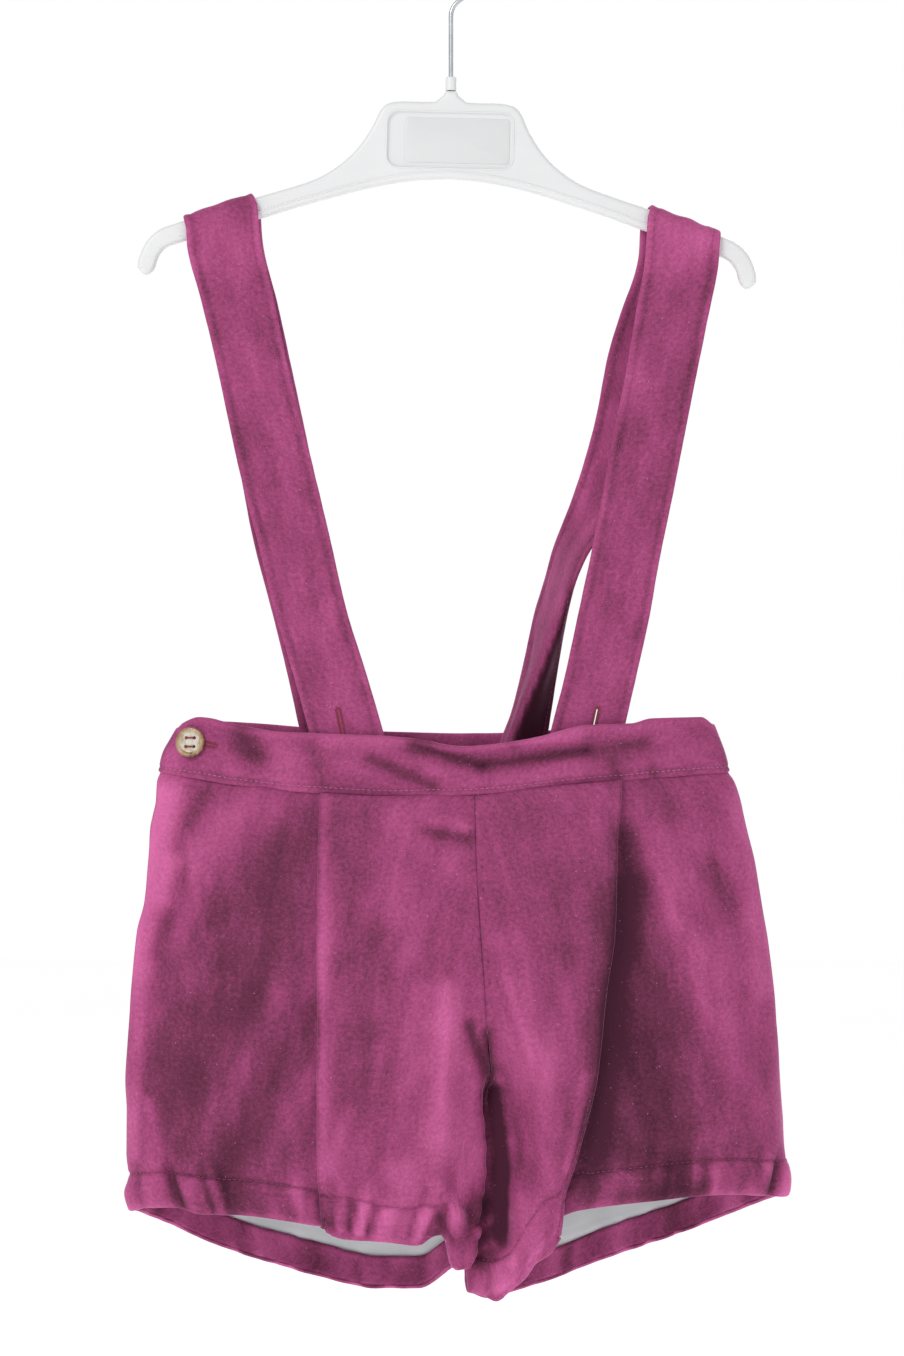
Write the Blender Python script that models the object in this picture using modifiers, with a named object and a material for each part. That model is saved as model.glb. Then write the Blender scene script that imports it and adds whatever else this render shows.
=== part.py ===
"""Child's velvet shorts with two braces, hanging on a plastic clothes hanger.

The origin is the point where the hanger's hook bears on its rod. +Z is up, +X is to the
viewer's right and the front of the shorts faces -Y. Left and right are the viewer's.
Tables hold millimetres. A drop is a distance straight down from the origin.
"""

import math
from collections import namedtuple

import bmesh
import bpy
from mathutils import Vector

MM = 0.001

# Walls and gaps.
VELVET = 1.4
BAND_CLOTH = 2.6
STRAP_CLOTH = 2.2
HEM_CLOTH = 1.2
LINING_CLOTH = 1.0
SEAM_GAP = 0.3
LIP = 1.2

# Shorts.
HEM_DEPTH = 15.0
LINING_TOP = 584.0
CROTCH_TOP = 535.0
CROTCH = 576.0
UNDERLAP_INSET_X = 4.4
UNDERLAP_INSET_Y = 8.4
UNDERLAP_ANGLE = 26.0

# Buttons.
SIDE_BUTTON_DIAMETER = 15.0
SIDE_BUTTON_THICKNESS = 3.0
SIDE_BUTTON_ACROSS = -0.921
SIDE_BUTTON_DROP = 401.0
STRAP_BUTTON_DIAMETER = 11.0
STRAP_BUTTON_THICKNESS = 2.2
STRAP_BUTTON_DROP = 407.0

# Hanger.
HANGER_TILT = math.radians(1.36)
HANGER_THICKNESS = 7.0
HANGER_ROUNDING = 2.4
PLATEAU_DROP = 90.7
ARM_CLEARANCE = 1.1
ARM_ROUND_DEPTH = 3.9
ARM_STEPS = 6
RECESS_WIDTH = 61.0
RECESS_HEIGHT = 27.0
RECESS_DEPTH = 1.6
RECESS_CORNER = 5.5
COLLAR_DIAMETER = 5.2
COLLAR_HEIGHT = 6.6
WIRE_DIAMETER = 2.2
HOOK_RADIUS = 20.0
HOOK_LEAVES_AT = math.radians(-52.0)
HOOK_ENDS_AT = math.radians(196.0)
NECK_BEND_RADIUS = 9.0

Seam = namedtuple("Seam", "drop left right")
SIDE_SEAMS = (
    Seam(415.0, -140.5, 133.9),
    Seam(436.0, -143.2, 141.0),
    Seam(458.0, -146.2, 146.3),
    Seam(478.0, -147.6, 149.6),
    Seam(492.0, -151.2, 152.0),
    Seam(515.0, -153.6, 155.4),
    Seam(541.0, -155.8, 157.6),
    Seam(565.0, -157.0, 159.0),
    Seam(600.0, -156.8, 161.2),
    Seam(628.0, -155.8, 162.3),
)
INNER_EDGES = (
    Seam(415.0, 11.2, 11.2),
    Seam(458.0, 12.2, 12.2),
    Seam(478.0, 13.4, 13.4),
    Seam(510.0, 15.6, 15.6),
    Seam(540.0, 17.4, 17.6),
    Seam(560.0, 18.4, 19.6),
    Seam(576.0, 19.0, 22.4),
    Seam(593.0, 20.4, 27.6),
    Seam(607.0, 19.4, 29.4),
    Seam(622.0, 16.4, 29.4),
    Seam(642.0, 12.0, 26.2),
    Seam(657.0, 8.0, 22.0),
    Seam(672.0, 5.0, 17.5),
)
PLEAT_EDGES = (
    Seam(425.0, -62.2, 81.2),
    Seam(452.0, -63.0, 79.2),
    Seam(490.0, -63.4, 78.2),
    Seam(520.0, -63.5, 74.0),
    Seam(558.0, -63.5, 69.8),
    Seam(598.0, -63.3, 60.6),
    Seam(620.0, -62.6, 54.0),
    Seam(645.0, -60.8, 51.6),
)

# How far each pleat reaches under itself.
PLEAT_DEPTHS = (
    Seam(425.0, 14.0, 14.0),
    Seam(560.0, 14.0, 12.0),
    Seam(645.0, 13.0, 8.0),
)

Depth = namedtuple("Depth", "drop front back pleat_step")
DEPTHS = (
    Depth(390.0, 22.5, 22.5, 2.1),
    Depth(425.0, 24.0, 24.0, 2.1),
    Depth(480.0, 25.5, 26.5, 2.6),
    Depth(540.0, 26.5, 28.5, 3.1),
    Depth(600.0, 25.5, 29.5, 3.2),
    Depth(672.0, 25.0, 30.0, 3.0),
)

Hem = namedtuple("Hem", "across drop")
HEMS = {
    "left side part": (
        Hem(0.0, 628.0),
        Hem(0.22, 626.8),
        Hem(0.5, 629.6),
        Hem(0.85, 635.0),
        Hem(1.0, 637.0),
    ),
    "left centre part": (
        Hem(0.0, 636.0),
        Hem(0.12, 641.0),
        Hem(0.4, 642.8),
        Hem(0.7, 644.6),
        Hem(0.86, 650.0),
        Hem(1.0, 657.0),
    ),
    "right side part": (
        Hem(0.0, 620.6),
        Hem(0.26, 619.4),
        Hem(0.55, 622.8),
        Hem(0.86, 628.2),
        Hem(1.0, 636.0),
    ),
    "right centre part": (
        Hem(0.0, 640.0),
        Hem(0.22, 648.6),
        Hem(0.5, 653.4),
        Hem(0.7, 660.4),
        Hem(0.9, 667.0),
        Hem(1.0, 670.4),
    ),
    "left back": (
        Hem(0.0, 628.0),
        Hem(0.1, 635.0),
        Hem(0.23, 645.0),
        Hem(0.39, 654.0),
        Hem(0.55, 661.4),
        Hem(0.71, 666.4),
        Hem(0.87, 667.0),
        Hem(1.0, 657.0),
    ),
    "right back": (
        Hem(0.0, 620.6),
        Hem(0.17, 630.0),
        Hem(0.35, 639.5),
        Hem(0.5, 647.0),
        Hem(0.66, 655.4),
        Hem(0.86, 667.4),
        Hem(1.0, 670.4),
    ),
}

Edge = namedtuple("Edge", "x drop")
WAIST_SEAM = (
    Edge(-141.0, 415.0),
    Edge(-106.0, 421.0),
    Edge(-62.0, 425.3),
    Edge(-30.0, 426.8),
    Edge(11.0, 425.3),
    Edge(55.0, 421.5),
    Edge(110.0, 417.0),
    Edge(134.0, 415.2),
)
BACK_WAIST_SEAM = (
    Edge(-141.0, 415.0),
    Edge(-70.0, 419.0),
    Edge(10.0, 421.0),
    Edge(80.0, 418.5),
    Edge(134.0, 415.2),
)
BAND_TOP = (
    Edge(-131.4, 394.0),
    Edge(-128.0, 390.6),
    Edge(-121.7, 388.3),
    Edge(-100.0, 392.8),
    Edge(-81.5, 395.3),
    Edge(-30.6, 397.3),
    Edge(-10.0, 400.2),
    Edge(4.4, 402.4),
    Edge(23.3, 401.0),
    Edge(41.0, 397.7),
    Edge(65.5, 392.0),
    Edge(87.0, 391.4),
    Edge(97.0, 388.9),
    Edge(121.0, 388.4),
    Edge(126.0, 392.0),
)
BACK_BAND_TOP = (
    Edge(-131.4, 394.0),
    Edge(-121.7, 390.5),
    Edge(-60.0, 394.5),
    Edge(10.0, 397.0),
    Edge(70.0, 394.0),
    Edge(121.0, 390.0),
    Edge(126.0, 392.0),
)

BandSide = namedtuple("BandSide", "down left right depth")
BAND_SIDES = (
    BandSide(0.0, -131.4, 126.4, 23.6),
    BandSide(0.25, -134.6, 128.6, 22.6),
    BandSide(0.6, -138.6, 131.6, 23.4),
    BandSide(1.0, -140.6, 133.9, 24.0),
)

# A crease is a soft ridge, or with a height below zero a trough, along a straight line.
Crease = namedtuple("Crease", "x drop to_x to_drop width height")
FRONT_CREASES = (
    Crease(-66.0, 530.0, -102.0, 600.0, 10.0, -3.2),
    Crease(-37.0, 492.0, -45.0, 578.0, 9.0, -1.8),
    Crease(-22.0, 470.0, -20.0, 500.0, 8.0, 1.8),
    Crease(-1.0, 520.0, -5.0, 590.0, 9.0, 3.0),
    Crease(-131.0, 468.0, -143.0, 540.0, 9.0, -3.0),
    Crease(-87.0, 430.0, -122.0, 452.0, 12.0, 2.2),
    Crease(29.0, 498.0, 47.0, 582.0, 10.0, 3.2),
    Crease(100.0, 482.0, 120.0, 560.0, 12.0, 3.0),
    Crease(86.0, 450.0, 84.0, 560.0, 9.0, -3.0),
    Crease(130.0, 498.0, 146.0, 514.0, 9.0, 2.4),
    Crease(-8.0, 409.0, 92.0, 406.0, 6.0, -2.0),
)
BACK_CREASES = (
    Crease(-96.0, 470.0, -60.0, 560.0, 13.0, -3.4),
    Crease(-40.0, 500.0, 0.0, 560.0, 12.0, -3.0),
    Crease(-118.0, 540.0, -112.0, 620.0, 12.0, 2.8),
    Crease(-52.0, 590.0, -60.0, 650.0, 12.0, 3.0),
    Crease(62.0, 495.0, 30.0, 560.0, 12.0, -3.2),
    Crease(112.0, 450.0, 92.0, 560.0, 13.0, 3.0),
    Crease(126.0, 540.0, 132.0, 610.0, 11.0, -2.6),
    Crease(66.0, 580.0, 72.0, 640.0, 12.0, 2.8),
)

# Each row of a brace runs straight across it, from the viewer's left edge to the right one.
# A crease along the brace lies at crease_at of its width, pushed off that line.
Brace = namedtuple(
    "Brace",
    "left_x left_y left_drop right_x right_y right_drop crease_at push_x push_y",
)
FLAT = (0.5, 0.0, 0.0)
BRACES = {
    "left front": (
        Brace(-63.3, -17.0, 417.0, -26.9, -19.2, 417.0, *FLAT),
        Brace(-68.4, -15.9, 395.3, -32.5, -18.2, 395.3, *FLAT),
        Brace(-76.6, -14.8, 365.7, -41.2, -16.6, 365.7, *FLAT),
        Brace(-84.9, -13.6, 337.6, -50.0, -14.6, 337.6, *FLAT),
        Brace(-93.1, -12.0, 304.6, -57.7, -12.0, 304.6, *FLAT),
        Brace(-102.8, -10.2, 266.8, -66.7, -10.2, 266.8, *FLAT),
        Brace(-113.5, -8.0, 217.3, -79.1, -8.0, 217.3, *FLAT),
        Brace(-120.8, -6.8, 187.2, -85.4, -6.8, 187.2, *FLAT),
        Brace(-127.2, -5.9, 164.0, -91.8, -5.9, 161.0, *FLAT),
    ),
    "left back": (
        Brace(-126.6, 5.9, 164.0, -91.0, 5.9, 161.0, *FLAT),
        Brace(-119.8, 6.8, 187.2, -84.4, 6.8, 187.2, *FLAT),
        Brace(-113.0, 8.0, 217.3, -77.8, 8.0, 217.3, *FLAT),
        Brace(-103.3, 10.4, 266.8, -67.4, 10.4, 266.8, *FLAT),
        Brace(-96.5, 12.2, 302.6, -60.6, 12.2, 302.6, *FLAT),
        Brace(-87.4, 14.2, 337.6, -51.5, 14.2, 337.6, *FLAT),
        Brace(-80.5, 15.6, 365.7, -44.6, 16.0, 365.7, *FLAT),
        Brace(-74.2, 15.6, 394.3, -38.3, 17.6, 394.3, *FLAT),
        Brace(-69.0, 16.6, 417.0, -33.0, 19.0, 417.0, *FLAT),
    ),
    "right front": (
        Brace(44.6, -17.2, 417.0, 81.0, -13.8, 417.0, *FLAT),
        Brace(47.6, -17.2, 396.7, 83.2, -13.8, 396.7, *FLAT),
        Brace(54.3, -16.2, 370.5, 88.9, -13.8, 370.5, *FLAT),
        Brace(60.6, -14.8, 341.4, 95.4, -13.4, 341.4, *FLAT),
        Brace(66.9, -12.8, 312.3, 100.6, -12.8, 312.3, *FLAT),
        Brace(72.8, -11.2, 283.2, 106.7, -11.2, 283.2, *FLAT),
        Brace(78.1, -9.6, 254.1, 112.5, -9.6, 254.1, *FLAT),
        Brace(83.9, -8.2, 225.0, 118.3, -8.2, 225.0, *FLAT),
        Brace(88.8, -7.0, 195.9, 124.2, -7.0, 195.9, *FLAT),
        Brace(93.4, -6.0, 170.5, 129.0, -6.0, 172.5, *FLAT),
    ),
    "right back": (
        Brace(90.6, 5.9, 168.0, 126.4, 5.9, 171.0, *FLAT),
        Brace(82.4, 7.2, 192.5, 118.0, 7.2, 192.5, *FLAT),
        Brace(76.4, 8.8, 212.4, 111.8, 8.6, 212.4, *FLAT),
        Brace(70.8, 12.6, 242.0, 105.4, 7.0, 242.0, *FLAT),
        Brace(65.0, 17.2, 264.3, 97.6, 4.6, 264.3, 0.56, 0.0, 0.0),
        Brace(58.6, 22.4, 284.2, 86.4, 1.2, 284.2, 0.66, 0.0, -0.8),
        Brace(50.6, 27.4, 306.0, 68.2, -2.0, 306.0, 0.8, 0.0, -1.2),
        Brace(46.4, 28.4, 321.6, 60.6, -1.0, 321.6, 0.86, 0.2, -2.4),
        Brace(41.2, 27.4, 338.5, 56.4, 5.6, 338.5, 0.84, 0.3, -7.6),
        Brace(35.9, 23.6, 361.3, 52.9, 14.4, 361.3, 0.64, -1.2, -13.6),
        Brace(29.6, 19.2, 386.5, 49.2, 18.2, 386.5, 0.44, -3.6, -13.4),
        Brace(24.2, 17.8, 401.0, 47.0, 19.4, 401.0, 0.36, -3.0, -11.0),
        Brace(20.2, 17.6, 417.0, 45.0, 19.6, 417.0, 0.34, -2.4, -9.0),
    ),
}

Outline = namedtuple("Outline", "x below")
HANGER_TOP = (
    Outline(0.0, 0.0),
    Outline(14.0, 0.0),
    Outline(26.7, 0.2),
    Outline(33.2, 3.4),
    Outline(38.3, 13.6),
    Outline(44.9, 23.5),
    Outline(53.8, 32.0),
    Outline(65.0, 38.8),
    Outline(81.5, 44.6),
    Outline(96.3, 49.2),
    Outline(113.5, 55.3),
    Outline(130.5, 61.2),
    Outline(139.9, 65.0),
    Outline(146.2, 71.2),
    Outline(149.7, 79.6),
)
HANGER_BELOW = (
    Outline(149.9, 83.8),
    Outline(146.2, 86.8),
    Outline(142.2, 84.4),
    Outline(140.0, 77.8),
    Outline(136.2, 73.2),
    Outline(130.0, 70.8),
    Outline(112.5, 65.4),
    Outline(94.8, 59.6),
    Outline(79.8, 54.4),
    Outline(59.2, 48.0),
    Outline(38.8, 42.2),
    Outline(18.2, 38.2),
    Outline(0.0, 36.9),
)
COLLAR_FOOT = (
    Outline(0.0, -5.6),
    Outline(2.6, -5.6),
    Outline(3.6, -3.4),
    Outline(7.6, -0.2),
)

LEGS = ("left", "right")
TOWARDS_MIDDLE = {"left": 1.0, "right": -1.0}

# How finely the cloth is divided.
PANEL_ROWS = 19
SIDE_PART_COLUMNS = 8
CENTRE_PART_COLUMNS = 8
BACK_COLUMNS = 15
FOLD_STEPS = 4
BAND_ROWS = 3
BAND_COLUMNS = 20
BRACE_STEP = 13.0


def mixed(start, end, share):
    return start + (end - start) * share


def eased(value):
    """0 below 0, 1 above 1 and a smooth step between."""
    share = min(max(value, 0.0), 1.0)
    return share * share * (3.0 - 2.0 * share)


def slope_at(keys, values, i):
    """Slope of the curve at row i, never so steep that it swings past a row."""
    before = after = None
    if i > 0:
        before = (values[i] - values[i - 1]) / (keys[i] - keys[i - 1])
    if i < len(keys) - 1:
        after = (values[i + 1] - values[i]) / (keys[i + 1] - keys[i])
    if before is None:
        return after
    if after is None:
        return before
    if before * after <= 0.0:
        return 0.0
    return 2.0 * before * after / (before + after)


def reading(table, column, at):
    """The named column on a smooth curve through the table, whose first column is the key."""
    keys = [row[0] for row in table]
    values = [getattr(row, column) for row in table]
    if at <= keys[0]:
        return values[0]
    if at >= keys[-1]:
        return values[-1]
    i = max(k for k in range(len(keys)) if keys[k] <= at)
    width = keys[i + 1] - keys[i]
    t = (at - keys[i]) / width
    start = slope_at(keys, values, i) * width
    end = slope_at(keys, values, i + 1) * width
    return (
        values[i] * (1.0 + 2.0 * t) * (1.0 - t) ** 2
        + start * t * (1.0 - t) ** 2
        + values[i + 1] * t * t * (3.0 - 2.0 * t)
        + end * t * t * (t - 1.0)
    )


def under_fold_x(leg, drop):
    """Where the pleat turns back on itself, hidden under the centre part."""
    depth = reading(PLEAT_DEPTHS, leg, drop)
    return reading(PLEAT_EDGES, leg, drop) + TOWARDS_MIDDLE[leg] * depth


def legs_parted(drop):
    """0 where left and right leg are one body, 1 where each leg closes on itself."""
    return eased((drop - CROTCH_TOP) / (CROTCH - CROTCH_TOP))


def seam_turn(drop):
    """Angle of the inner edge: 0 while it faces the other leg, a right angle on the inseam."""
    return legs_parted(drop) * math.pi / 2.0


def side_x(leg, drop):
    return reading(SIDE_SEAMS, leg, drop)


def inner_x(leg, drop):
    """Where the inner edge of a leg's panels ends, clear of the other leg's."""
    clear = SEAM_GAP / 2.0 + (VELVET / 2.0 + 0.1) * math.sin(seam_turn(drop))
    return reading(INNER_EDGES, leg, drop) - TOWARDS_MIDDLE[leg] * clear


def bulge(leg, x, drop):
    """How far a face stands off the middle plane, as a share of its full depth."""
    side = side_x(leg, drop)
    across = min(max((x - side) / (inner_x(leg, drop) - side), 0.0), 1.0)
    torso = math.sqrt(1.0 - (1.0 - across) ** 2)
    tube = math.sqrt(1.0 - (1.0 - 2.0 * across) ** 2)
    return mixed(torso, tube, legs_parted(drop))


def crease_height(creases, x, drop):
    total = 0.0
    for crease in creases:
        run_x = crease.to_x - crease.x
        run_drop = crease.to_drop - crease.drop
        along = ((x - crease.x) * run_x + (drop - crease.drop) * run_drop) / (
            run_x * run_x + run_drop * run_drop
        )
        along = min(max(along, 0.0), 1.0)
        off = math.hypot(x - crease.x - along * run_x, drop - crease.drop - along * run_drop)
        total += crease.height * math.exp(-((off / crease.width) ** 2))
    return total


def front_y(leg, x, drop):
    share = bulge(leg, x, drop)
    creases = crease_height(FRONT_CREASES, x, drop) * eased(2.5 * share)
    return -(reading(DEPTHS, "front", drop) * share + creases)


def back_y(leg, x, drop):
    share = bulge(leg, x, drop)
    creases = crease_height(BACK_CREASES, x, drop) * eased(2.5 * share)
    return reading(DEPTHS, "back", drop) * share + creases


def placed(x, y, drop):
    return Vector((x, y, -drop)) * MM


def end_of_row(leg, drop, face):
    """The last two points of a row at the inner edge. Face is -1 on the front, 1 on the back."""
    turn = seam_turn(drop)
    inner = inner_x(leg, drop)
    column = "front" if face < 0 else "back"
    depth = reading(DEPTHS, column, drop) * (1.0 - legs_parted(drop))
    if legs_parted(drop) < 1.0:
        creases = FRONT_CREASES if face < 0 else BACK_CREASES
        depth += crease_height(creases, inner, drop) * (1.0 - legs_parted(drop))
    edge_y = face * (depth + SEAM_GAP / 2.0)
    before_x = inner - TOWARDS_MIDDLE[leg] * LIP * math.cos(turn)
    before_y = edge_y + face * LIP * math.sin(turn)
    return placed(before_x, before_y, drop), placed(inner, edge_y, drop)


def pleated_row(leg, down):
    """One row of a front, from the side seam through the pleat to the inner edge."""
    towards = TOWARDS_MIDDLE[leg]
    side_hem = HEMS[leg + " side part"]
    centre_hem = HEMS[leg + " centre part"]
    points = []

    def drop_at(top_x, hem_drop):
        top = reading(WAIST_SEAM, "drop", top_x) + SEAM_GAP
        return mixed(top, hem_drop, down)

    top_side = side_x(leg, 420.0)
    top_pleat = reading(PLEAT_EDGES, leg, 425.0)
    top_under = under_fold_x(leg, 425.0)
    top_inner = inner_x(leg, 425.0)

    def side_part(across):
        drop = drop_at(mixed(top_side, top_under, across), reading(side_hem, "drop", across))
        return mixed(side_x(leg, drop), under_fold_x(leg, drop), across), drop

    edge_x, edge_drop = side_part(0.0)
    points.append(placed(edge_x, -SEAM_GAP / 2.0, edge_drop))
    points.append(placed(edge_x, -SEAM_GAP / 2.0 - LIP, edge_drop))
    for i in range(1, SIDE_PART_COLUMNS + 1):
        x, drop = side_part(1.0 - math.cos(i / SIDE_PART_COLUMNS * math.pi / 2.0))
        points.append(placed(x, front_y(leg, x, drop), drop))

    under_hem = side_hem[-1].drop
    pleat_hem = centre_hem[0].drop
    under_drop = drop_at(top_under, under_hem)
    step = reading(DEPTHS, "pleat_step", under_drop)
    under_x = under_fold_x(leg, under_drop)
    base = front_y(leg, under_x, under_drop)
    for i in range(1, FOLD_STEPS + 1):
        angle = math.pi * i / FOLD_STEPS
        x = under_x + towards * step / 2.0 * math.sin(angle)
        y = base - step / 2.0 + step / 2.0 * math.cos(angle)
        points.append(placed(x, y, under_drop))

    pleat_drop = drop_at(top_pleat, pleat_hem)
    step = reading(DEPTHS, "pleat_step", pleat_drop)
    pleat_x = reading(PLEAT_EDGES, leg, pleat_drop) + towards * step / 2.0
    middle_x = mixed(under_x, pleat_x, 0.5)
    middle_drop = mixed(under_drop, pleat_drop, 0.5)
    points.append(placed(middle_x, front_y(leg, middle_x, middle_drop) - step, middle_drop))
    base = front_y(leg, pleat_x, pleat_drop)
    for i in range(FOLD_STEPS + 1):
        angle = math.pi * i / FOLD_STEPS
        x = pleat_x - towards * step / 2.0 * math.sin(angle)
        y = base - 1.5 * step + step / 2.0 * math.cos(angle)
        points.append(placed(x, y, pleat_drop))

    for i in range(1, CENTRE_PART_COLUMNS):
        across = math.sin(i / (CENTRE_PART_COLUMNS - 1) * math.pi / 2.0)
        drop = drop_at(mixed(top_pleat, top_inner, across), reading(centre_hem, "drop", across))
        start = reading(PLEAT_EDGES, leg, drop)
        x = mixed(start, inner_x(leg, drop) - towards * room_for_lip(drop), across)
        lift = pleat_lift(leg, x, drop)
        points.append(placed(x, front_y(leg, x, drop) - lift, drop))
    end_drop = drop_at(top_inner, centre_hem[-1].drop)
    points.extend(end_of_row(leg, end_drop, -1.0))
    return points


def pleat_lift(leg, x, drop):
    """How far the part between pleat and inner edge lies in front of the part beside it."""
    start = under_fold_x(leg, drop) + TOWARDS_MIDDLE[leg] * 3.0
    across = (x - start) / (inner_x(leg, drop) - start)
    return 2.0 * reading(DEPTHS, "pleat_step", drop) * (1.0 - eased(across))


def room_for_lip(drop):
    """How near the inner edge a row's last point before the lip may come."""
    return mixed(3.0, 1.2, legs_parted(drop))


def back_row(leg, down):
    """One row of a back, from the side seam to the inner edge."""
    hem = HEMS[leg + " back"]
    top_side = side_x(leg, 420.0)
    top_inner = inner_x(leg, 425.0)

    def at(across):
        top = reading(BACK_WAIST_SEAM, "drop", mixed(top_side, top_inner, across)) + SEAM_GAP
        drop = mixed(top, reading(hem, "drop", across), down)
        return mixed(side_x(leg, drop), inner_x(leg, drop), across), drop

    edge_x, edge_drop = at(0.0)
    points = [
        placed(edge_x, SEAM_GAP / 2.0, edge_drop),
        placed(edge_x, SEAM_GAP / 2.0 + LIP, edge_drop),
    ]
    for i in range(1, BACK_COLUMNS):
        x, drop = at((1.0 - math.cos(i / BACK_COLUMNS * math.pi)) / 2.0)
        limit = inner_x(leg, drop) - TOWARDS_MIDDLE[leg] * room_for_lip(drop)
        x = min(x, limit) if leg == "left" else max(x, limit)
        points.append(placed(x, back_y(leg, x, drop), drop))
    end_drop = at(1.0)[1]
    before, edge = end_of_row(leg, end_drop, 1.0)
    points.append(before)
    points.append(edge)
    return points


def column_of(rows, column):
    """A panel's points down one column, in millimetres with drops counted downwards."""
    return [Vector((row[column].x, row[column].y, -row[column].z)) / MM for row in rows]


def at_drop(column, drop):
    """Where a column of points passes a drop."""
    for upper, lower in zip(column, column[1:]):
        if drop <= lower.z:
            return upper.lerp(lower, (drop - upper.z) / (lower.z - upper.z))
    return column[-1].copy()


def inside_columns(leg, front, back):
    """The panels' innermost columns, once round a leg from the side seam's front half."""
    under = SIDE_PART_COLUMNS + 1
    centre = under + 2 * FOLD_STEPS + 3
    towards = TOWARDS_MIDDLE[leg]
    columns = [column_of(front, i) for i in range(under + 1)]
    past_fold = [point + Vector((towards * 3.2, 0.4, 0.0)) for point in columns[-1]]
    beyond = []
    for i in range(centre, len(front[0])):
        column = column_of(front, i)
        if all((point.x - fold.x) * towards > 7.0 for point, fold in zip(column, past_fold)):
            beyond.append(column)
    for point, next_point in zip(past_fold, beyond[0]):
        point.z = mixed(point.z, next_point.z, 0.3)
    columns.append(past_fold)
    columns.extend(beyond)
    columns.extend(column_of(back, i) for i in reversed(range(len(back[0]))))
    return columns


def leg_ring(leg, columns, height, inset):
    """A closed ring of points just inside a leg. Height gives the drop from the hem's drop."""
    outline = [at_drop(column, height(column[-1].z)) for column in columns]
    ring = []
    for i, here in enumerate(outline):
        before = outline[i - 1]
        after = outline[(i + 1) % len(outline)]
        along = Vector((after.x - before.x, after.y - before.y)).normalized()
        inward = Vector((-along.y, along.x)) * TOWARDS_MIDDLE[leg]
        ring.append(placed(here.x + inward.x * inset, here.y + inward.y * inset, here.z))
    return ring


def band_point(across, down, face, inset_x=0.0, inset_y=0.0):
    """A point of the waistband. Across runs from -1 at the left side seam to 1 at the right."""
    middle = INNER_EDGES[0].left
    column = "left" if across < 0.0 else "right"
    reach = abs(reading(BAND_SIDES, column, down) - middle) - inset_x
    x = middle + across * reach
    share = math.sqrt(max(0.0, 1.0 - across * across))
    top_table, seam_table = (BAND_TOP, WAIST_SEAM) if face < 0 else (BACK_BAND_TOP, BACK_WAIST_SEAM)
    drop = mixed(reading(top_table, "drop", x), reading(seam_table, "drop", x), down)
    y = (reading(BAND_SIDES, "depth", down) - inset_y) * share
    if face < 0:
        y += crease_height(FRONT_CREASES, x, drop) * eased(2.5 * share)
    return x, face * y, drop


def band_rows(face):
    """Front band from side seam to side seam, or the back one from its underlap round to it."""
    rows = []
    for k in range(BAND_ROWS + 1):
        down = k / BAND_ROWS
        points = []
        if face < 0:
            x, _, drop = band_point(-1.0, down, face)
            points.append(placed(x, -SEAM_GAP / 2.0, drop))
        else:
            for i in range(5):
                angle = math.radians(UNDERLAP_ANGLE * (4 - i) / 4.0)
                x, y, drop = band_point(-math.cos(angle), down, -1.0, UNDERLAP_INSET_X, UNDERLAP_INSET_Y)
                points.append(placed(x, y, drop))
        for i in range(1, BAND_COLUMNS):
            angle = math.pi * i / BAND_COLUMNS
            outer = Vector(band_point(-math.cos(angle), down, face))
            if face > 0:
                inner = Vector(
                    band_point(-math.cos(angle), down, face, UNDERLAP_INSET_X, UNDERLAP_INSET_Y)
                )
                outer = outer.lerp(inner, 1.0 - eased((angle - 0.1) / 0.6))
            points.append(placed(*outer))
        x, _, drop = band_point(1.0, down, face)
        points.append(placed(x, face * (SEAM_GAP / 2.0 + LIP), drop))
        points.append(placed(x, face * SEAM_GAP / 2.0, drop))
        rows.append(points)
    return rows


def arm_top(x):
    """Drop of the hanger's top edge at x, with the hanger's tilt."""
    level_x = x + reading(HANGER_TOP, "below", abs(x)) * math.sin(HANGER_TILT)
    below = reading(HANGER_TOP, "below", abs(level_x))
    return PLATEAU_DROP + below * math.cos(HANGER_TILT) + level_x * math.sin(HANGER_TILT)


def brace_row(row):
    """Five points straight across a brace and over its lengthwise crease."""
    left = Vector((row.left_x, row.left_y, row.left_drop))
    right = Vector((row.right_x, row.right_y, row.right_drop))
    crease = left.lerp(right, row.crease_at) + Vector((row.push_x, row.push_y, 0.0))
    return [left, left.lerp(crease, 0.5), crease, crease.lerp(right, 0.5), right]


def over_arm(leg):
    """The rows of a brace round the top of the hanger's arm, from front to back."""
    front = BRACES[leg + " front"][-1]
    back = BRACES[leg + " back"][0]
    radius = HANGER_THICKNESS / 2.0 + ARM_CLEARANCE + STRAP_CLOTH / 2.0
    rows = []
    for i in range(ARM_STEPS + 1):
        share = i / ARM_STEPS
        angle = math.pi * (share - 0.5)
        left_x = mixed(front.left_x, back.left_x, share)
        right_x = mixed(front.right_x, back.right_x, share)
        lean = 2.8 * math.cos(angle) + 1.8
        if leg == "left":
            left_x -= lean * 0.6
            right_x -= lean
        else:
            left_x += lean
            right_x += lean * 0.6
        row = []
        for k in range(5):
            x = mixed(left_x, right_x, k / 4.0)
            centre = arm_top(x) + ARM_ROUND_DEPTH
            row.append(Vector((x, radius * math.sin(angle), centre - radius * math.cos(angle))))
        rows.append(row)
    return rows


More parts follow.
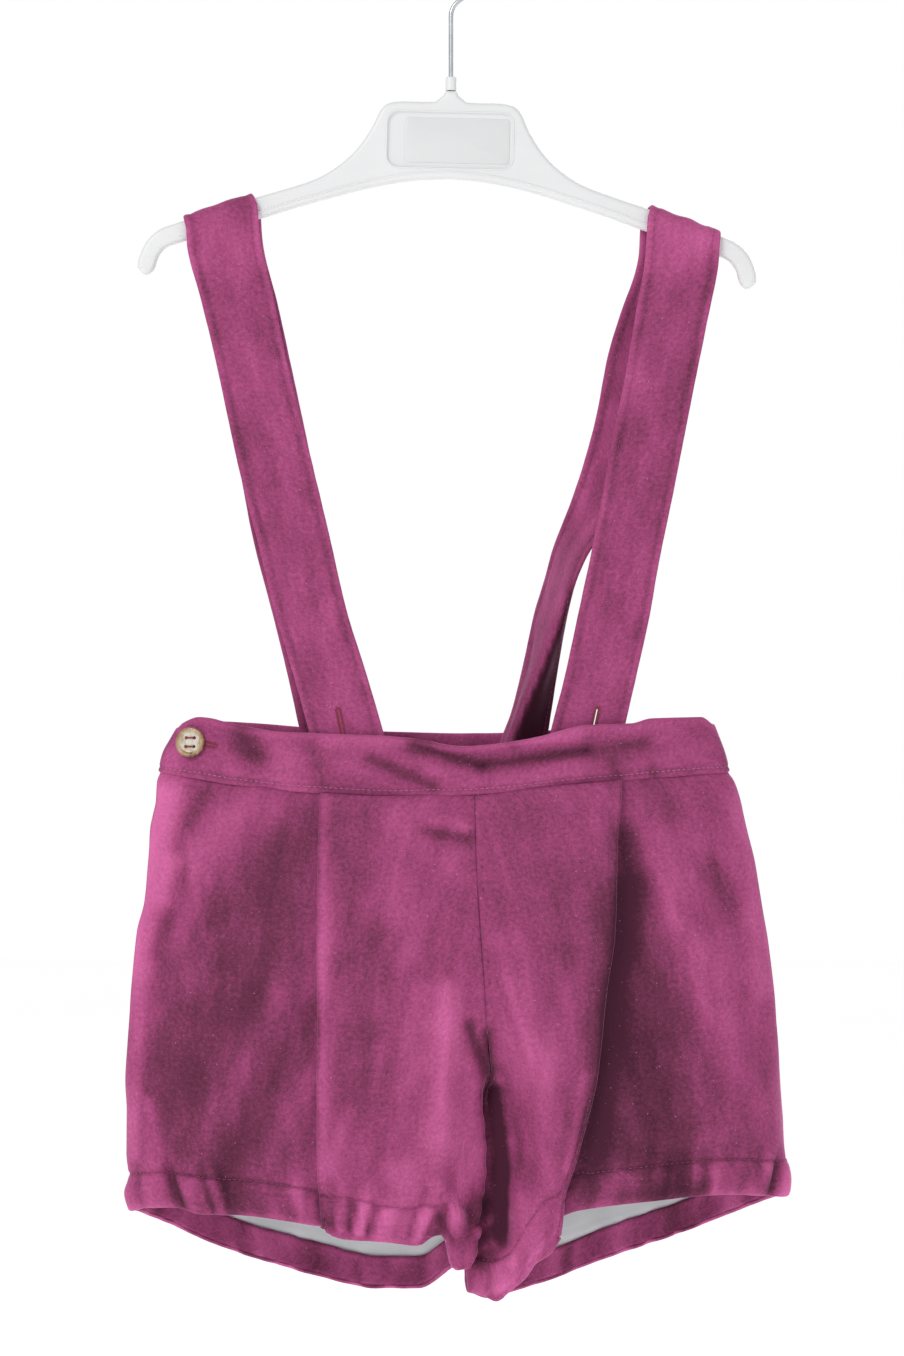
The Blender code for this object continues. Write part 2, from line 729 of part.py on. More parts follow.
def through_rows(rows, step):
    """More rows on smooth curves through the given ones, about a step apart."""
    finer = []
    for i in range(len(rows) - 1):
        count = max(1, round((rows[i + 1][2] - rows[i][2]).length / step))
        before = rows[max(i - 1, 0)]
        after = rows[min(i + 2, len(rows) - 1)]
        for k in range(count):
            t = k / count
            points = []
            for p0, p1, p2, p3 in zip(before, rows[i], rows[i + 1], after):
                length = (p2 - p1).length
                start = (p2 - p0) * (length / max((p2 - p1).length + (p1 - p0).length, 1e-6))
                end = (p3 - p1) * (length / max((p3 - p2).length + (p2 - p1).length, 1e-6))
                points.append(
                    p1 * ((1.0 + 2.0 * t) * (1.0 - t) ** 2)
                    + start * (t * (1.0 - t) ** 2)
                    + p2 * (t * t * (3.0 - 2.0 * t))
                    + end * (t * t * (t - 1.0))
                )
            finer.append(points)
    finer.append(rows[-1])
    return finer


def brace_rows(leg):
    rows = [brace_row(row) for row in BRACES[leg + " front"]]
    rows.extend(over_arm(leg))
    rows.extend(brace_row(row) for row in BRACES[leg + " back"])
    return [[placed(*point) for point in row] for row in through_rows(rows, BRACE_STEP)]


def make_material(name, colour, roughness, metallic=0.0, sheen=0.0):
    material = bpy.data.materials.new(name)
    material.use_nodes = True
    shader = material.node_tree.nodes["Principled BSDF"]
    shader.inputs["Base Color"].default_value = (*colour, 1.0)
    shader.inputs["Roughness"].default_value = roughness
    shader.inputs["Metallic"].default_value = metallic
    shader.inputs["Sheen Weight"].default_value = sheen
    material.diffuse_color = (*colour, 1.0)
    return material


def add_object(name, mesh, material, collection):
    obj = bpy.data.objects.new(name, mesh)
    collection.objects.link(obj)
    mesh.materials.append(material)
    mesh.shade_smooth()
    return obj


def cloth_object(name, rows, wall, material, collection, closed=False):
    """A sheet through rows of points, thickened evenly to both sides."""
    bm = bmesh.new()
    grid = [[bm.verts.new(point) for point in row] for row in rows]
    columns = len(rows[0]) if closed else len(rows[0]) - 1
    for upper, lower in zip(grid, grid[1:]):
        for i in range(columns):
            k = (i + 1) % len(upper)
            bm.faces.new((upper[i], upper[k], lower[k], lower[i]))
    mesh = bpy.data.meshes.new(name)
    bm.to_mesh(mesh)
    bm.free()
    obj = add_object(name, mesh, material, collection)
    solidify = obj.modifiers.new("Wall", "SOLIDIFY")
    solidify.thickness = wall * MM
    solidify.offset = 0.0
    return obj


def build_legs(velvet, lining, parts):
    """Front and back of each leg, with its turned hem and lining made from their points."""
    downs = [k / PANEL_ROWS for k in range(PANEL_ROWS + 1)]
    hem_inset = VELVET / 2.0 + 0.8 + HEM_CLOTH / 2.0
    lining_inset = VELVET / 2.0 + 1.3 + LINING_CLOTH / 2.0
    for leg in LEGS:
        front = [pleated_row(leg, down) for down in downs]
        back = [back_row(leg, down) for down in downs]
        cloth_object("front_" + leg, front, VELVET, velvet, parts)
        cloth_object("back_" + leg, back, VELVET, velvet, parts)
        columns = inside_columns(leg, front, back)
        hem = [
            leg_ring(leg, columns, lambda low, up=up: low - up, hem_inset)
            for up in (HEM_DEPTH, HEM_DEPTH / 2.0, 0.8)
        ]
        cloth_object("hem_" + leg, hem, HEM_CLOTH, velvet, parts, closed=True)
        above = HEM_DEPTH + 2.0
        inner = [
            leg_ring(leg, columns, lambda low, up=up: mixed(low - above, LINING_TOP, up), lining_inset)
            for up in (1.0, 0.75, 0.5, 0.25, 0.0)
        ]
        cloth_object("lining_" + leg, inner, LINING_CLOTH, lining, parts, closed=True)


def build_waistband(velvet, parts):
    cloth_object("waistband_front", band_rows(-1.0), BAND_CLOTH, velvet, parts)
    cloth_object("waistband_back", band_rows(1.0), BAND_CLOTH, velvet, parts)


def build_braces(velvet, parts):
    for leg in LEGS:
        cloth_object("strap_" + leg, brace_rows(leg), STRAP_CLOTH, velvet, parts)


def turned_button(name, diameter, thickness, material, collection):
    """A round button with a raised rim, its face towards +Z of its own frame."""
    radius = diameter / 2.0
    profile = (
        (0.0, 0.18),
        (0.55, 0.18),
        (0.72, 0.5),
        (0.92, 0.5),
        (1.0, 0.2),
        (1.0, -0.2),
        (0.9, -0.5),
        (0.0, -0.5),
    )
    bm = bmesh.new()
    verts = [bm.verts.new((r * radius * MM, 0.0, z * thickness * MM)) for r, z in profile]
    for first, second in zip(verts, verts[1:]):
        bm.edges.new((first, second))
    mesh = bpy.data.meshes.new(name)
    bm.to_mesh(mesh)
    bm.free()
    obj = add_object(name, mesh, material, collection)
    screw = obj.modifiers.new("Turned", "SCREW")
    screw.axis = "Z"
    screw.steps = 20
    screw.render_steps = 20
    screw.use_merge_vertices = True
    screw.merge_threshold = 0.00001
    screw.use_normal_calculate = True
    return obj


def drill_button(button, spacing, hole, cutters):
    """Four thread holes through a button."""
    bm = bmesh.new()
    for sx in (-1, 1):
        for sy in (-1, 1):
            made = bmesh.ops.create_cone(
                bm,
                cap_ends=True,
                segments=8,
                radius1=hole / 2.0 * MM,
                radius2=hole / 2.0 * MM,
                depth=12.0 * MM,
            )
            offset = Vector((sx * spacing / 2.0, sy * spacing / 2.0, 0.0)) * MM
            bmesh.ops.translate(bm, verts=made["verts"], vec=offset)
    mesh = bpy.data.meshes.new(button.name + "_holes")
    bm.to_mesh(mesh)
    bm.free()
    cutter = bpy.data.objects.new(mesh.name, mesh)
    cutters.objects.link(cutter)
    cutter.hide_render = True
    cutter.display_type = "WIRE"
    cutter.location = button.location
    cutter.rotation_euler = button.rotation_euler
    boolean = button.modifiers.new("Thread holes", "BOOLEAN")
    boolean.object = cutter
    boolean.operation = "DIFFERENCE"
    boolean.solver = "EXACT"


def aim(obj, point, outward):
    obj.location = point
    obj.rotation_euler = outward.to_track_quat("Z", "X").to_euler()


def build_buttons(horn, plain, parts, cutters):
    side = turned_button(
        "side_button", SIDE_BUTTON_DIAMETER, SIDE_BUTTON_THICKNESS, horn, parts
    )
    down = 0.38
    here = Vector(band_point(SIDE_BUTTON_ACROSS, down, -1.0))
    along = placed(*band_point(SIDE_BUTTON_ACROSS + 0.03, down, -1.0)) - placed(*here)
    below = placed(*band_point(SIDE_BUTTON_ACROSS, down + 0.3, -1.0)) - placed(*here)
    outward = below.cross(along).normalized()
    stand = BAND_CLOTH / 2.0 + 0.9 + SIDE_BUTTON_THICKNESS / 2.0
    aim(side, placed(here.x, here.y, SIDE_BUTTON_DROP) + outward * stand * MM, outward)
    drill_button(side, 4.2, 1.7, cutters)
    for leg in LEGS:
        top = BRACES[leg + " front"][0]
        next_row = BRACES[leg + " front"][1]
        share = (top.left_drop - STRAP_BUTTON_DROP) / (top.left_drop - next_row.left_drop)
        left = Vector(top[0:3]).lerp(Vector(next_row[0:3]), share)
        right = Vector(top[3:6]).lerp(Vector(next_row[3:6]), share)
        across = right - left
        inward = Vector((-across.y, across.x, 0.0)).normalized()
        stand = STRAP_CLOTH / 2.0 + 0.4 + STRAP_BUTTON_THICKNESS / 2.0
        point = left.lerp(right, 0.5) + inward * stand
        button = turned_button(
            "strap_button_" + leg, STRAP_BUTTON_DIAMETER, STRAP_BUTTON_THICKNESS, plain, parts
        )
        aim(button, placed(*point), inward)


def rounded_rectangle(width, height, corner):
    points = []
    for quarter in range(4):
        for i in range(5):
            angle = math.pi / 2.0 * (quarter + i / 4.0)
            x = math.copysign(width / 2.0 - corner, math.cos(math.pi / 2.0 * (quarter + 0.5)))
            z = math.copysign(height / 2.0 - corner, math.sin(math.pi / 2.0 * (quarter + 0.5)))
            points.append((x + corner * math.cos(angle), z + corner * math.sin(angle)))
    return points


def smooth_outline(rows, count):
    """Points on smooth curves through an outline's rows."""
    points = [Vector((row.x, -row.below)) for row in rows]
    finer = []
    for i in range(len(points) - 1):
        before = points[max(i - 1, 0)]
        start, end = points[i], points[i + 1]
        after = points[min(i + 2, len(points) - 1)]
        for k in range(count):
            t = k / count
            finer.append(
                start * ((1.0 + 2.0 * t) * (1.0 - t) ** 2)
                + (end - before) * 0.5 * (t * (1.0 - t) ** 2)
                + end * (t * t * (3.0 - 2.0 * t))
                + (after - start) * 0.5 * (t * t * (t - 1.0))
            )
    finer.append(points[-1])
    return finer


def hanger_outline():
    """The whole outline, once round, in millimetres from the middle of the plateau."""
    foot = [Vector((row.x, -row.below)) for row in COLLAR_FOOT]
    top = smooth_outline(HANGER_TOP[1:], 2)
    below = smooth_outline(HANGER_BELOW, 1)
    half = foot + top + below
    mirrored = [Vector((-p.x, p.y)) for p in reversed(half[1:-1])]
    return half + mirrored


def mesh_from_curve(obj, collection):
    """The curve object's mesh, with its caps welded, in place of the curve."""
    graph = bpy.context.evaluated_depsgraph_get()
    mesh = bpy.data.meshes.new_from_object(obj.evaluated_get(graph))
    bm = bmesh.new()
    bm.from_mesh(mesh)
    bmesh.ops.remove_doubles(bm, verts=bm.verts, dist=0.000005)
    bmesh.ops.recalc_face_normals(bm, faces=bm.faces)
    bm.to_mesh(mesh)
    bm.free()
    name = obj.name
    matrix = obj.matrix_world.copy()
    bpy.data.objects.remove(obj)
    made = bpy.data.objects.new(name, mesh)
    collection.objects.link(made)
    made.matrix_world = matrix
    return made


def flat_curve(name, outline, half_thickness, rounding, collection):
    curve = bpy.data.curves.new(name, "CURVE")
    curve.dimensions = "2D"
    curve.fill_mode = "BOTH"
    curve.extrude = (half_thickness - rounding) * MM
    curve.bevel_depth = rounding * MM
    curve.bevel_resolution = 1
    curve.offset = -rounding * MM
    spline = curve.splines.new("POLY")
    spline.points.add(len(outline) - 1)
    for point, (x, y) in zip(spline.points, outline):
        point.co = (x * MM, y * MM, 0.0, 1.0)
    spline.use_cyclic_u = True
    obj = bpy.data.objects.new(name, curve)
    collection.objects.link(obj)
    return obj


def build_hanger(plastic, wire, parts, cutters):
    upright = math.pi / 2.0
    body = flat_curve("hanger_body", hanger_outline(), HANGER_THICKNESS / 2.0, HANGER_ROUNDING, parts)
    body.rotation_euler = (upright, HANGER_TILT, 0.0)
    body.rotation_mode = "XYZ"
    body.location = placed(0.0, 0.0, PLATEAU_DROP)
    bpy.context.view_layer.update()
    body = mesh_from_curve(body, parts)
    body.data.materials.append(plastic)
    body.data.shade_smooth()
    body.data.set_sharp_from_angle(angle=math.radians(35.0))
    for face in (-1.0, 1.0):
        outline = rounded_rectangle(RECESS_WIDTH, RECESS_HEIGHT, RECESS_CORNER)
        side = "front" if face < 0 else "back"
        pocket = flat_curve("recess_" + side, outline, RECESS_DEPTH, 0.0, cutters)
        pocket.rotation_euler = (upright, HANGER_TILT, 0.0)
        middle = Vector((0.0, face * HANGER_THICKNESS / 2.0, -18.5))
        middle.x += middle.z * math.sin(HANGER_TILT)
        pocket.location = placed(middle.x, middle.y, PLATEAU_DROP - middle.z)
        bpy.context.view_layer.update()
        pocket = mesh_from_curve(pocket, cutters)
        pocket.hide_render = True
        pocket.display_type = "WIRE"
        boolean = body.modifiers.new("Recess " + side, "BOOLEAN")
        boolean.object = pocket
        boolean.operation = "DIFFERENCE"
        boolean.solver = "EXACT"
    build_collar(plastic, parts)
    build_hook(wire, parts)


def build_collar(plastic, parts):
    foot_top = PLATEAU_DROP + COLLAR_FOOT[0].below
    outer = COLLAR_DIAMETER / 2.0
    bore = WIRE_DIAMETER / 2.0 + SEAM_GAP
    profile = (
        (bore, COLLAR_HEIGHT),
        (outer - 0.6, COLLAR_HEIGHT),
        (outer, COLLAR_HEIGHT - 0.6),
        (outer, 0.0),
        (bore, 0.0),
    )
    bm = bmesh.new()
    verts = [bm.verts.new((r * MM, 0.0, z * MM)) for r, z in profile]
    for i in range(len(verts)):
        bm.edges.new((verts[i], verts[(i + 1) % len(verts)]))
    mesh = bpy.data.meshes.new("hanger_collar")
    bm.to_mesh(mesh)
    bm.free()
    collar = add_object("hanger_collar", mesh, plastic, parts)
    collar.location = placed(0.0, 0.0, foot_top - 0.4)
    screw = collar.modifiers.new("Turned", "SCREW")
    screw.axis = "Z"
    screw.steps = 16
    screw.render_steps = 16
    screw.use_merge_vertices = True
    screw.merge_threshold = 0.00001
    screw.use_normal_calculate = True


def hook_points():
    """The wire's middle line: up the shank, round the neck bend and round the hook."""
    ring = HOOK_RADIUS
    centre = Vector((0.0, -ring + WIRE_DIAMETER / 2.0))
    leave = centre + ring * Vector((math.cos(HOOK_LEAVES_AT), math.sin(HOOK_LEAVES_AT)))
    heading = Vector((-math.sin(HOOK_LEAVES_AT), math.cos(HOOK_LEAVES_AT)))
    turn = math.atan2(heading.x, heading.y)
    bend = NECK_BEND_RADIUS
    bend_end_x = bend * (1.0 - math.cos(turn))
    back = (leave.x - bend_end_x) / heading.x
    bend_end = leave - heading * back
    bend_start = Vector((0.0, bend_end.y - bend * math.sin(turn)))
    low = -(PLATEAU_DROP + COLLAR_FOOT[0].below - 0.8)
    points = [Vector((0.0, mixed(low, bend_start.y, i / 4.0))) for i in range(4)]
    for i in range(5):
        angle = turn * i / 4.0
        points.append(bend_start + bend * Vector((1.0 - math.cos(angle), math.sin(angle))))
    points.append(bend_end.lerp(leave, 0.5))
    steps = 26
    for i in range(steps + 1):
        angle = mixed(HOOK_LEAVES_AT, HOOK_ENDS_AT, i / steps)
        points.append(centre + ring * Vector((math.cos(angle), math.sin(angle))))
    return points


def build_hook(wire, parts):
    curve = bpy.data.curves.new("hanger_hook", "CURVE")
    curve.dimensions = "3D"
    curve.bevel_depth = WIRE_DIAMETER / 2.0 * MM
    curve.bevel_resolution = 2
    curve.use_fill_caps = True
    points = hook_points()
    spline = curve.splines.new("POLY")
    spline.points.add(len(points) - 1)
    for point, here in zip(spline.points, points):
        point.co = (here.x * MM, 0.0, here.y * MM, 1.0)
    hook = bpy.data.objects.new("hanger_hook", curve)
    parts.objects.link(hook)
    curve.materials.append(wire)


def main():
    for obj in list(bpy.data.objects):
        bpy.data.objects.remove(obj)
    parts = bpy.data.collections.new("Velvet shorts on a hanger")
    cutters = bpy.data.collections.new("Cutters")
    bpy.context.scene.collection.children.link(parts)
    bpy.context.scene.collection.children.link(cutters)
    velvet = make_material("Raspberry velvet", (0.32, 0.05, 0.17), 0.85, sheen=0.8)
    lining = make_material("Pale lining", (0.72, 0.73, 0.75), 0.8)
    horn = make_material("Horn button", (0.55, 0.47, 0.38), 0.3)
    plain = make_material("Plain button", (0.6, 0.55, 0.5), 0.35)
    plastic = make_material("White plastic", (0.86, 0.86, 0.87), 0.3)
    wire = make_material("Hook wire", (0.55, 0.55, 0.57), 0.3, metallic=1.0)
    build_legs(velvet, lining, parts)
    build_waistband(velvet, parts)
    build_braces(velvet, parts)
    build_buttons(horn, plain, parts, cutters)
    build_hanger(plastic, wire, parts, cutters)


if __name__ == "__main__":
    main()
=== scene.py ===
"""Velvet shorts with two braces, hanging on a child's hanger: the finished look.

Tables and lengths hold millimetres. A drop is a distance straight down from the point where
the hook bears on its rail. Left and right are the viewer's, and the front faces -Y.
"""

import math
from collections import namedtuple
from functools import partialmethod

import bmesh
import bpy
import numpy as np
from mathutils import Matrix, Vector, noise


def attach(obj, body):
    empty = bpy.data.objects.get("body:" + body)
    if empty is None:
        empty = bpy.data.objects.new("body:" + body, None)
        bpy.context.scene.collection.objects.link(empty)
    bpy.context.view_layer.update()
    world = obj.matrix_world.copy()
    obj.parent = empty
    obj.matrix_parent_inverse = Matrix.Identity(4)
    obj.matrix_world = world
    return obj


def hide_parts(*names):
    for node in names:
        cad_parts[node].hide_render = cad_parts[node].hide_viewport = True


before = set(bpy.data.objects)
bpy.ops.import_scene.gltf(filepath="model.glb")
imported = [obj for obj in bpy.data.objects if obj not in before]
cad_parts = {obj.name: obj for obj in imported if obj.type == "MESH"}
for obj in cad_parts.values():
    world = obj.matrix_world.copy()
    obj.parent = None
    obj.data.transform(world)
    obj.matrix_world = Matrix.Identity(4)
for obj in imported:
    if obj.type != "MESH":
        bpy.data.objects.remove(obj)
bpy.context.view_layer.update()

bl_info = {
    "name": "Velvet shorts on a hanger",
    "version": (1, 0, 0),
    "blender": (4, 5, 0),
    "location": "3D View > Sidebar > Shorts",
    "description": "Makes a child's velvet shorts with braces on a plastic hanger",
    "category": "Object",
}

MM = 0.001
LEGS = ("left", "right")
TOWARDS_MIDDLE = {"left": 1.0, "right": -1.0}

# The solids' own walls, gaps and places, which the finished pieces keep to.
VELVET = 1.4
BAND_CLOTH = 2.6
STRAP_CLOTH = 2.2
SEAM_GAP = 0.3
LIP = 1.2
UNDER_BAND = 0.6
BAND_DEPTH = 30.0
STITCHES_FROM_EDGE = 3.4
ROLL = 1.05
CROTCH_TOP = 535.0
CROTCH = 576.0
LINING_TOP = 584.0
UNDERLAP_INSET = (4.4, 8.4)
UNDERLAP_ANGLE = 26.0
HANGER_TILT = math.radians(1.36)
HANGER_THICKNESS = 7.0
PLATEAU_DROP = 90.7
RECESS_DROP = 18.5
ARM_CLEARANCE = 1.1
ARM_ROUND_DEPTH = 3.9
ARM_STEPS = 8
WIRE_DIAMETER = 2.2
HOOK_RADIUS = 20.0
NECK_BEND = 9.0
SHARP_FROM = math.radians(38.0)

# Radius and thickness of the buttons; width, height and corners of the hanger's recess.
SIDE_BUTTON = (7.5, 3.0)
BRACE_BUTTON = (5.5, 2.2)
RECESS = (61.0, 27.0, 5.5)
RECESS_BEAD = (61.6, 27.6, 5.8)
RECESS_PANE = (51.0, 22.0, 2.0)
HOLE_STITCHES = 0.42

# How many columns the panels and bands have, and how far across a brace its columns lie.
SIDE_COLUMNS = 58
FOLD_STEPS = 8
CENTRE_COLUMNS = 46
BACK_COLUMNS = 104
ARC_STEPS = 5
ACROSS_BRACE = np.concatenate(([0.0, 0.04], np.linspace(0.075, 0.925, 13), [0.96, 1.0]))

# The photograph's frame: what it spans and where its middle lies.
VIEW_DISTANCE = 2000.0
VIEW_HEIGHT = 657.7
VIEW_MIDDLE = (0.5, 369.6)

# The drops down one column of a panel, with the drops of its top and its hem.
Run = namedtuple("Run", "drop top hem")

# Flat sizes of the cloth that each piece is cut from, width by height, in metres.
LEG_CUTS = {"front": (0.205, 0.235), "back": (0.178, 0.235)}
ROUND_LEG = {"left": 0.36, "right": 0.32}
BAND_CUT = (0.30, 0.062)
BRACE_CUT = (0.072, 0.55)

# What is worked out by one step and used again by a later one.
PANELS = {}
STITCH_LINES = {}


def table(columns, *rows, defaults=()):
    """Rows of numbers under named columns."""
    row = namedtuple("Row", columns, defaults=defaults)
    return [row(*map(float, numbers)) for numbers in rows]


SIDE_SEAMS = table(
    "drop left right",
    (415, -140.5, 133.9), (421, -142.2, 137.2), (429, -142.4, 139.6), (436, -143.9, 141),
    (443, -145.3, 142.6), (458, -146.2, 146.3), (478, -147.9, 149.6), (492, -151.4, 152),
    (515, -153.9, 155.4), (541, -156, 157.6), (565, -157.3, 159), (580, -156.4, 160),
    (600, -156.8, 161.2), (612, -155.6, 162.2), (620, -157, 162), (628, -155.8, 162.3),
)
INNER_EDGES = table(
    "drop left right",
    (415, 11.2, 11.2), (458, 12.2, 12.2), (478, 13.4, 13.4), (510, 15.6, 15.6), (540, 17.5, 17.5),
    (560, 19.2, 19.2), (576, 21, 21.4), (593, 23.5, 24.5), (607, 23.5, 24.7), (622, 21.4, 23),
    (642, 17.6, 19.6), (657, 13.6, 15.6), (672, 10.2, 12.2),
)
# How far the legs' facing sides lean to the viewer's left as they run back.
LEG_LEAN = table(
    "drop shift",
    (545, 0), (576, 7), (600, 13), (640, 12), (660, 8), (672, 5),
)
PLEAT_EDGES = table(
    "drop left right",
    (425, -62.2, 81.2), (452, -63, 79.2), (490, -63.4, 78.2), (520, -63.5, 74), (558, -63.5, 69.8),
    (598, -63.3, 60.6), (620, -62.6, 54), (645, -60.8, 51.6),
)
PLEAT_DEPTHS = table(
    "drop left right",
    (425, 14, 14), (560, 14, 12), (645, 13, 8),
)
DEPTHS = table(
    "drop front back pleat_step",
    (390, 22.5, 22.5, 2.1), (425, 24, 24, 2.1), (480, 25.5, 26.5, 2.6), (540, 26.5, 28.5, 3.1),
    (600, 25.5, 29.5, 3.2), (672, 25, 30, 3),
)
HEMS = {
    "left side part": table(
        "across drop",
        (0, 628), (0.1, 625), (0.22, 624.6), (0.34, 627.2), (0.5, 627.4), (0.85, 632.2), (1, 634.4),
    ),
    "left centre part": table(
        "across drop",
        (0, 633.4), (0.12, 637.8), (0.38, 639.6), (0.6, 642), (0.68, 638.4), (0.735, 637.6),
        (0.78, 642.4), (0.81, 648.4), (0.84, 653.4), (0.89, 655.4), (1, 655),
    ),
    "right side part": table(
        "across drop",
        (0, 620.6), (0.26, 617.6), (0.55, 620.4), (0.86, 625.4), (1, 633),
    ),
    "right centre part": table(
        "across drop",
        (0, 637.4), (0.15, 645.6), (0.38, 651), (0.51, 658), (0.67, 665.2), (0.85, 670.4), (1, 668),
    ),
    "left back": table(
        "across drop",
        (0, 628), (0.1, 636.4), (0.23, 647.4), (0.39, 656.8), (0.55, 664.4), (0.71, 669.4),
        (0.86, 668.6), (1, 655),
    ),
    "right back": table(
        "across drop",
        (0, 620.6), (0.17, 631.6), (0.35, 642.4), (0.5, 650.2), (0.66, 658.6), (0.86, 669.6),
        (0.94, 672.4), (1, 668),
    ),
}
WAIST_SEAM = table(
    "x drop",
    (-141, 415), (-106, 421), (-62, 425.3), (-30, 426.8), (11, 425.3), (55, 421.5), (110, 417),
    (134, 415.2),
)
BACK_WAIST_SEAM = table(
    "x drop",
    (-141, 415), (-70, 419), (10, 421), (80, 418.5), (134, 415.2),
)
BAND_TOP = table(
    "x drop",
    (-131.4, 394), (-128, 390.6), (-121.7, 388.3), (-100, 392.8), (-81.5, 395.3), (-30.6, 397.3),
    (-10, 400.2), (4.4, 402.4), (23.3, 401), (41, 397.7), (65.5, 392), (87, 391.4), (97, 388.9),
    (121, 388.4), (126, 392),
)
BACK_BAND_TOP = table(
    "x drop",
    (-131.4, 394), (-121.7, 390.5), (-60, 394.5), (10, 397), (70, 394), (121, 390), (126, 392),
)
BAND_SIDES = table(
    "down left right depth",
    (0, -131.4, 126.4, 23.6), (0.25, -134.6, 128.6, 22.6), (0.6, -138.6, 131.6, 23.4),
    (1, -140.6, 133.9, 24),
)


def creases(*rows):
    """Soft ridges, or with a height below zero troughs, along straight lines.

    The shade column paints light and shade into the velvet's colour along the same line: painted
    highlights on ridges and lit places, painted shade in troughs and where shadow falls.
    """
    return table("x drop to_x to_drop width height shade", *rows)
